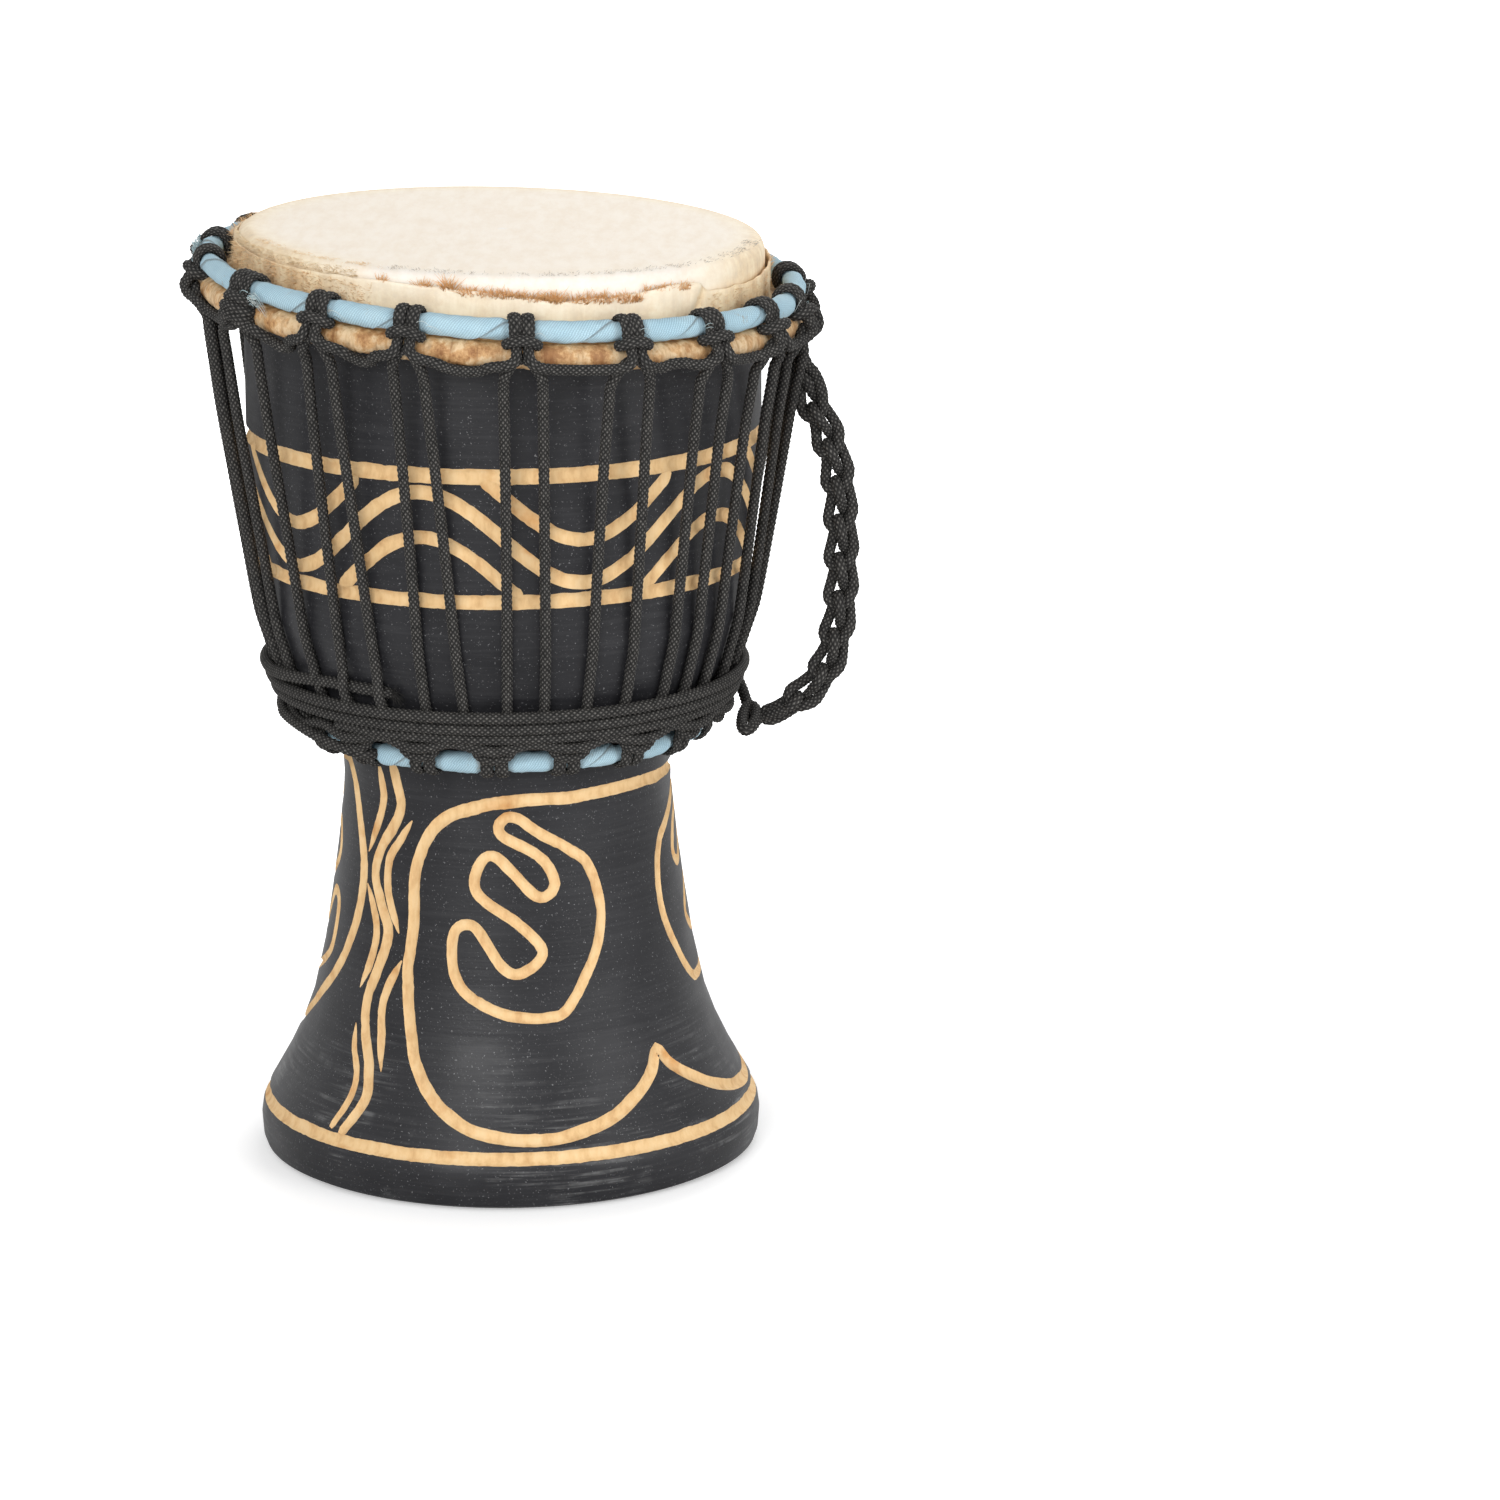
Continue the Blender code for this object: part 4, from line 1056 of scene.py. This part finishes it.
def blend(tree, share, first, second, kind="MIX"):
    """Two colours mixed by share, which may be a number or a socket."""
    node = tree.nodes.new("ShaderNodeMix")
    node.data_type = "RGBA"
    node.blend_type = kind
    for socket, value in ((node.inputs["Factor"], share), (node.inputs[6], first), (node.inputs[7], second)):
        if isinstance(value, bpy.types.NodeSocket):
            tree.links.new(value, socket)
        elif isinstance(value, tuple):
            socket.default_value = (*value, 1.0)
        else:
            socket.default_value = value
    return node.outputs[2]


def tone_of(tree):
    node = tree.nodes.new("ShaderNodeAttribute")
    node.attribute_name = "tone"
    return node.outputs["Fac"]


def stretched(tree, place, size):
    """The place with each axis made longer or shorter."""
    node = tree.nodes.new("ShaderNodeMapping")
    node.inputs["Scale"].default_value = size
    tree.links.new(place, node.inputs["Vector"])
    return node.outputs[0]


def band_share(tree, place, low, high):
    """1 below the low height, 0 above the high one; metres."""
    parts = tree.nodes.new("ShaderNodeSeparateXYZ")
    tree.links.new(place, parts.inputs[0])
    node = tree.nodes.new("ShaderNodeMapRange")
    tree.links.new(parts.outputs["Z"], node.inputs["Value"])
    for key, value in (("From Min", low), ("From Max", high), ("To Min", 1.0), ("To Max", 0.0)):
        node.inputs[key].default_value = value
    return node.outputs[0]


def times(tree, first, second):
    node = tree.nodes.new("ShaderNodeMath")
    node.operation = "MULTIPLY"
    for socket, value in zip(node.inputs, (first, second)):
        if isinstance(value, bpy.types.NodeSocket):
            tree.links.new(value, socket)
        else:
            socket.default_value = value
    return node.outputs[0]


def painted_wood():
    """Satin black paint with turning lines, white dust, and grey scuffs low on the foot."""
    made, tree, shader, place = new_material("painted_wood_look")
    colour = ramp(tree, noise(tree, place, 60), [(0.3, (0.015, 0.015, 0.0172)), (0.7, (0.024, 0.024, 0.0268))])
    dust = ramp(tree, noise(tree, place, 1700, 2.0), [(0.655, (0, 0, 0)), (0.74, (1, 1, 1))])
    colour = blend(tree, dust, colour, (0.19, 0.19, 0.195))
    scratch = ramp(tree, noise(tree, stretched(tree, place, (40, 40, 900)), 1.0, 3.0), [(0.48, (0, 0, 0)), (0.7, (1, 1, 1))])
    worn = ramp(tree, noise(tree, place, 35, 5.0, 0.7), [(0.50, (0, 0, 0)), (0.68, (1, 1, 1))])
    low = band_share(tree, place, 0.016, 0.050)
    colour = blend(tree, times(tree, times(tree, worn, scratch), low), colour, (0.19, 0.19, 0.19))
    colour = blend(tree, times(tree, scratch, 0.06), colour, (0.16, 0.16, 0.165))
    tree.links.new(colour, shader.inputs["Base Color"])
    rough = ramp(tree, noise(tree, place, 50), [(0.3, (0.34, 0.34, 0.34)), (0.7, (0.46, 0.46, 0.46))])
    tree.links.new(rough, shader.inputs["Roughness"])
    turning = noise(tree, stretched(tree, place, (6, 6, 1100)), 1.0, 3.0)
    uneven = blend(tree, 0.55, noise(tree, place, 900), turning)
    bump(tree, shader, uneven, 0.30, 0.0003)
    shader.inputs["Specular IOR Level"].default_value = 0.24
    return made


def carved_wood():
    """Bare pale wood with the gouge's marks, scorched thinly here and there."""
    made, tree, shader, place = new_material("carved_wood_look")
    grain = noise(tree, stretched(tree, place, (1, 1, 0.35)), 330, 6.0, 0.6)
    colour = ramp(tree, grain, [(0.25, (0.60, 0.35, 0.15)), (0.5, (0.79, 0.54, 0.27)), (0.85, (0.88, 0.67, 0.40))])
    stain = ramp(tree, noise(tree, place, 75, 4.0), [(0.60, (1, 1, 1)), (0.74, (0.80, 0.62, 0.44))])
    colour = blend(tree, 1.0, colour, stain, "MULTIPLY")
    tree.links.new(colour, shader.inputs["Base Color"])
    shader.inputs["Roughness"].default_value = 0.75
    bump(tree, shader, noise(tree, place, 1100, 5.0), 0.5, 0.0003)
    return made


def skin_look():
    """Shaved hide: cream on the head, tan where it is rolled, brown in its cracks, and brown as painted shade in the
    lip's crease.
    """
    made, tree, shader, place = new_material("goat_skin_look")
    zone = tone_of(tree)
    clean = ramp(tree, zone, [(0.0, (0.92, 0.88, 0.82)), (0.06, (0.94, 0.86, 0.75)), (0.14, (0.96, 0.87, 0.72)), (0.38, (0.95, 0.80, 0.56)),
                              (0.55, (0.86, 0.67, 0.43)), (0.8, (0.74, 0.54, 0.32)), (1.0, (0.26, 0.14, 0.06))])
    blotch = ramp(tree, noise(tree, place, 150, 6.0, 0.7),
                  [(0.44, (1, 1, 1)), (0.53, (0.80, 0.63, 0.45)), (0.62, (0.46, 0.28, 0.15))])
    streak = ramp(tree, noise(tree, stretched(tree, place, (1, 1, 0.18)), 420, 5.0, 0.65),
                  [(0.35, (0.62, 0.48, 0.34)), (0.55, (1, 1, 1)), (0.75, (1.0, 1.0, 1.0))])
    dirty = blend(tree, 1.0, blend(tree, 1.0, clean, blotch, "MULTIPLY"), streak, "MULTIPLY")
    spread = ramp(tree, zone, [(0.08, (0.02, 0.02, 0.02)), (0.3, (0.22, 0.22, 0.22)), (0.75, (0.95, 0.95, 0.95))])
    fibre = ramp(tree, noise(tree, stretched(tree, place, (1, 0.25, 1)), 260, 6.0, 0.7),
                 [(0.35, (0.90, 0.84, 0.76)), (0.6, (1, 1, 1))])
    colour = blend(tree, 0.5, blend(tree, spread, clean, dirty), fibre, "MULTIPLY")
    tree.links.new(colour, shader.inputs["Base Color"])
    shader.inputs["Roughness"].default_value = 0.7
    bump(tree, shader, noise(tree, place, 1300, 5.0), 0.35, 0.0003)
    return made


def hair_look():
    """Hair from white over blond and red-brown to dark grey, by each hair's tone."""
    made, tree, shader, place = new_material("hair_look")
    colour = ramp(tree, tone_of(tree), [(0.0, (0.97, 0.93, 0.85)), (0.15, (0.93, 0.83, 0.66)), (0.35, (0.88, 0.70, 0.45)),
                                        (0.62, (0.86, 0.46, 0.18)), (0.78, (0.50, 0.29, 0.13)),
                                        (0.95, (0.42, 0.41, 0.38))])
    tree.links.new(blend(tree, 0.08, colour, noise(tree, place, 900), "MULTIPLY"), shader.inputs["Base Color"])
    shader.inputs["Roughness"].default_value = 0.6
    return made


def steel_look():
    made, tree, shader, place = new_material("steel_look")
    colour = ramp(tree, noise(tree, place, 200), [(0.3, (0.42, 0.42, 0.43)), (0.7, (0.60, 0.60, 0.61))])
    tree.links.new(colour, shader.inputs["Base Color"])
    shader.inputs["Metallic"].default_value = 1.0
    shader.inputs["Roughness"].default_value = 0.35
    return made


def cloth_look():
    """Light blue cotton strip: a plain weave laid across the ring, darker at each lap's edge and beside the hitch
    ropes, painted shade with some staining.
    """
    made, tree, shader, place = new_material("blue_cloth_look")
    colour = ramp(tree, noise(tree, place, 120), [(0.3, (0.49, 0.70, 0.80)), (0.7, (0.58, 0.78, 0.86))])
    map_node = tree.nodes.new("ShaderNodeUVMap")
    map_node.uv_map = "weave"
    turned_map = tree.nodes.new("ShaderNodeMapping")
    turned_map.inputs["Rotation"].default_value = (0, 0, math.radians(38))
    tree.links.new(map_node.outputs[0], turned_map.inputs["Vector"])
    waves = []
    for direction in ("X", "Y"):
        wave_node = tree.nodes.new("ShaderNodeTexWave")
        wave_node.bands_direction = direction
        wave_node.inputs["Scale"].default_value = 2 * math.pi / 20 / 0.62
        tree.links.new(turned_map.outputs[0], wave_node.inputs["Vector"])
        waves.append(wave_node.outputs["Fac"])
    threads = times(tree, *waves)
    gaps = ramp(tree, threads, [(0.0, (0.42, 0.50, 0.56)), (0.45, (1, 1, 1))])
    colour = blend(tree, 0.75, colour, gaps, "MULTIPLY")
    # The tone darkens the laps' edges and the cloth beside the hitch ropes: painted shade, with some staining
    colour = blend(tree, tone_of(tree), colour, (0.16, 0.17, 0.17))
    spots = ramp(tree, noise(tree, place, 160, 5.0, 0.7), [(0.64, (0, 0, 0)), (0.75, (0.8, 0.8, 0.8))])
    colour = blend(tree, spots, colour, (0.33, 0.26, 0.18))
    tree.links.new(colour, shader.inputs["Base Color"])
    shader.inputs["Roughness"].default_value = 0.9
    bump(tree, shader, threads, 0.5, 0.0002)
    return made


def thread_look():
    """Cloth threads from white over pale blue to black, by each thread's tone."""
    made, tree, shader, place = new_material("thread_look")
    colour = ramp(tree, tone_of(tree), [(0.0, (0.80, 0.86, 0.84)), (0.2, (0.55, 0.74, 0.78)), (0.6, (0.22, 0.28, 0.32)),
                                        (0.9, (0.03, 0.03, 0.03))])
    tree.links.new(blend(tree, 0.3, colour, noise(tree, place, 900), "MULTIPLY"), shader.inputs["Base Color"])
    shader.inputs["Roughness"].default_value = 0.9
    return made


def rope_look():
    """Braided black cord: painted shade in the braid's valleys, and a painted highlight with some wear on its crests.
    """
    made, tree, shader, place = new_material("black_rope_look")
    # Painted shade in the valleys and a painted highlight, with some wear, on the crests, by the tone
    crest = ramp(tree, tone_of(tree), [(0.0, (0.016, 0.016, 0.016)), (0.5, (0.062, 0.060, 0.058)),
                                       (1.0, (0.235, 0.228, 0.216))])
    worn = ramp(tree, noise(tree, place, 700), [(0.3, (0.50, 0.50, 0.50)), (0.75, (1.25, 1.23, 1.2))])
    colour = blend(tree, 1.0, crest, worn, "MULTIPLY")
    tree.links.new(colour, shader.inputs["Base Color"])
    shader.inputs["Roughness"].default_value = 0.78
    shader.inputs["Specular IOR Level"].default_value = 0.12
    bump(tree, shader, noise(tree, place, 2600), 0.5, 0.0003)
    return made


def finish_nodes():
    looks = {"painted_wood": painted_wood(), "goat_skin": skin_look(), "steel": steel_look(),
             "blue_cloth": cloth_look(), "black_rope": rope_look()}
    slots = {entry["node"]: entry["material_slot"] for entry in frame["record"]["subparts"]}
    for name, item in nodes.items():
        item.data.materials.clear()
        item.data.materials.append(looks[slots[name]])


def make_floor():
    """A white floor: it takes the drum's shadow near the foot and is plain white further out."""
    bpy.ops.mesh.primitive_plane_add(size=30, location=(0, 0, -0.0005))
    floor = bpy.context.object
    floor.name = "floor"
    made, tree, shader, place = new_material("floor_look")
    colour = ramp(tree, noise(tree, place, 3), [(0.0, (0.86, 0.86, 0.86)), (1.0, (0.89, 0.89, 0.89))])
    tree.links.new(colour, shader.inputs["Base Color"])
    shader.inputs["Roughness"].default_value = 0.8
    shader.inputs["Specular IOR Level"].default_value = 0.1
    distance = tree.nodes.new("ShaderNodeVectorMath")
    distance.operation = "LENGTH"
    tree.links.new(place, distance.inputs[0])
    glow = tree.nodes.new("ShaderNodeMapRange")
    tree.links.new(distance.outputs["Value"], glow.inputs["Value"])
    for key, value in (("From Min", 0.07), ("From Max", 0.34), ("To Min", FLOOR_GLOW), ("To Max", 1.0)):
        glow.inputs[key].default_value = value
    path = tree.nodes.new("ShaderNodeLightPath")
    shader.inputs["Emission Color"].default_value = (1, 1, 1, 1)
    tree.links.new(times(tree, path.outputs["Is Camera Ray"], glow.outputs[0]), shader.inputs["Emission Strength"])
    floor.data.materials.append(made)
    return floor


FLOOR_GLOW = 0.35


def area_light(name, place, size, power):
    light = bpy.data.lights.new(name, "AREA")
    light.shape = "SQUARE"
    light.size = size
    light.energy = power
    item = bpy.data.objects.new(name, light)
    bpy.context.scene.collection.objects.link(item)
    item.location = place
    item.rotation_euler = (Vector((0, 0, 0.14)) - Vector(place)).to_track_quat("-Z", "Y").to_euler()


def set_light():
    world = bpy.data.worlds.new("world")
    bpy.context.scene.world = world
    world.use_nodes = True
    tree = world.node_tree
    background = tree.nodes["Background"]
    background.inputs["Color"].default_value = (1, 1, 1, 1)
    path = tree.nodes.new("ShaderNodeLightPath")
    seen = tree.nodes.new("ShaderNodeMath")
    seen.operation = "MAXIMUM"
    tree.links.new(path.outputs["Is Camera Ray"], seen.inputs[0])
    tree.links.new(path.outputs["Is Glossy Ray"], seen.inputs[1])
    strength = tree.nodes.new("ShaderNodeMapRange")
    strength.inputs["To Min"].default_value = 0.5
    strength.inputs["To Max"].default_value = 1.0
    tree.links.new(seen.outputs[0], strength.inputs["Value"])
    tree.links.new(strength.outputs[0], background.inputs["Strength"])
    area_light("key", (-0.5, -1.8, 0.9), 0.9, 20)
    area_light("fill", (1.4, -1.0, 0.6), 1.0, 10)
    area_light("back", (0.3, 1.3, 1.0), 0.9, 8.8)
    bpy.context.scene.view_settings.view_transform = "Standard"


def set_camera():
    data = bpy.data.cameras.new("camera")
    data.sensor_width = 36
    data.lens = 144.94
    item = bpy.data.objects.new("camera", data)
    bpy.context.scene.collection.objects.link(item)
    item.location = (0.07085, -1.70973, 0.55475)
    item.rotation_euler = (math.radians(75.640), 0, 0)
    bpy.context.scene.camera = item


finish_nodes()
rope_finish, cloth_finish, skin_finish = rope_look(), cloth_look(), skin_look()
make_ropes(rope_finish)
make_strap(rope_finish)
make_carved_shell(painted_wood(), carved_wood())
make_cloth(cloth_finish)
make_skin(skin_finish)
make_hair(hair_look())
make_loose_threads(thread_look())
make_floor()
set_light()
set_camera()
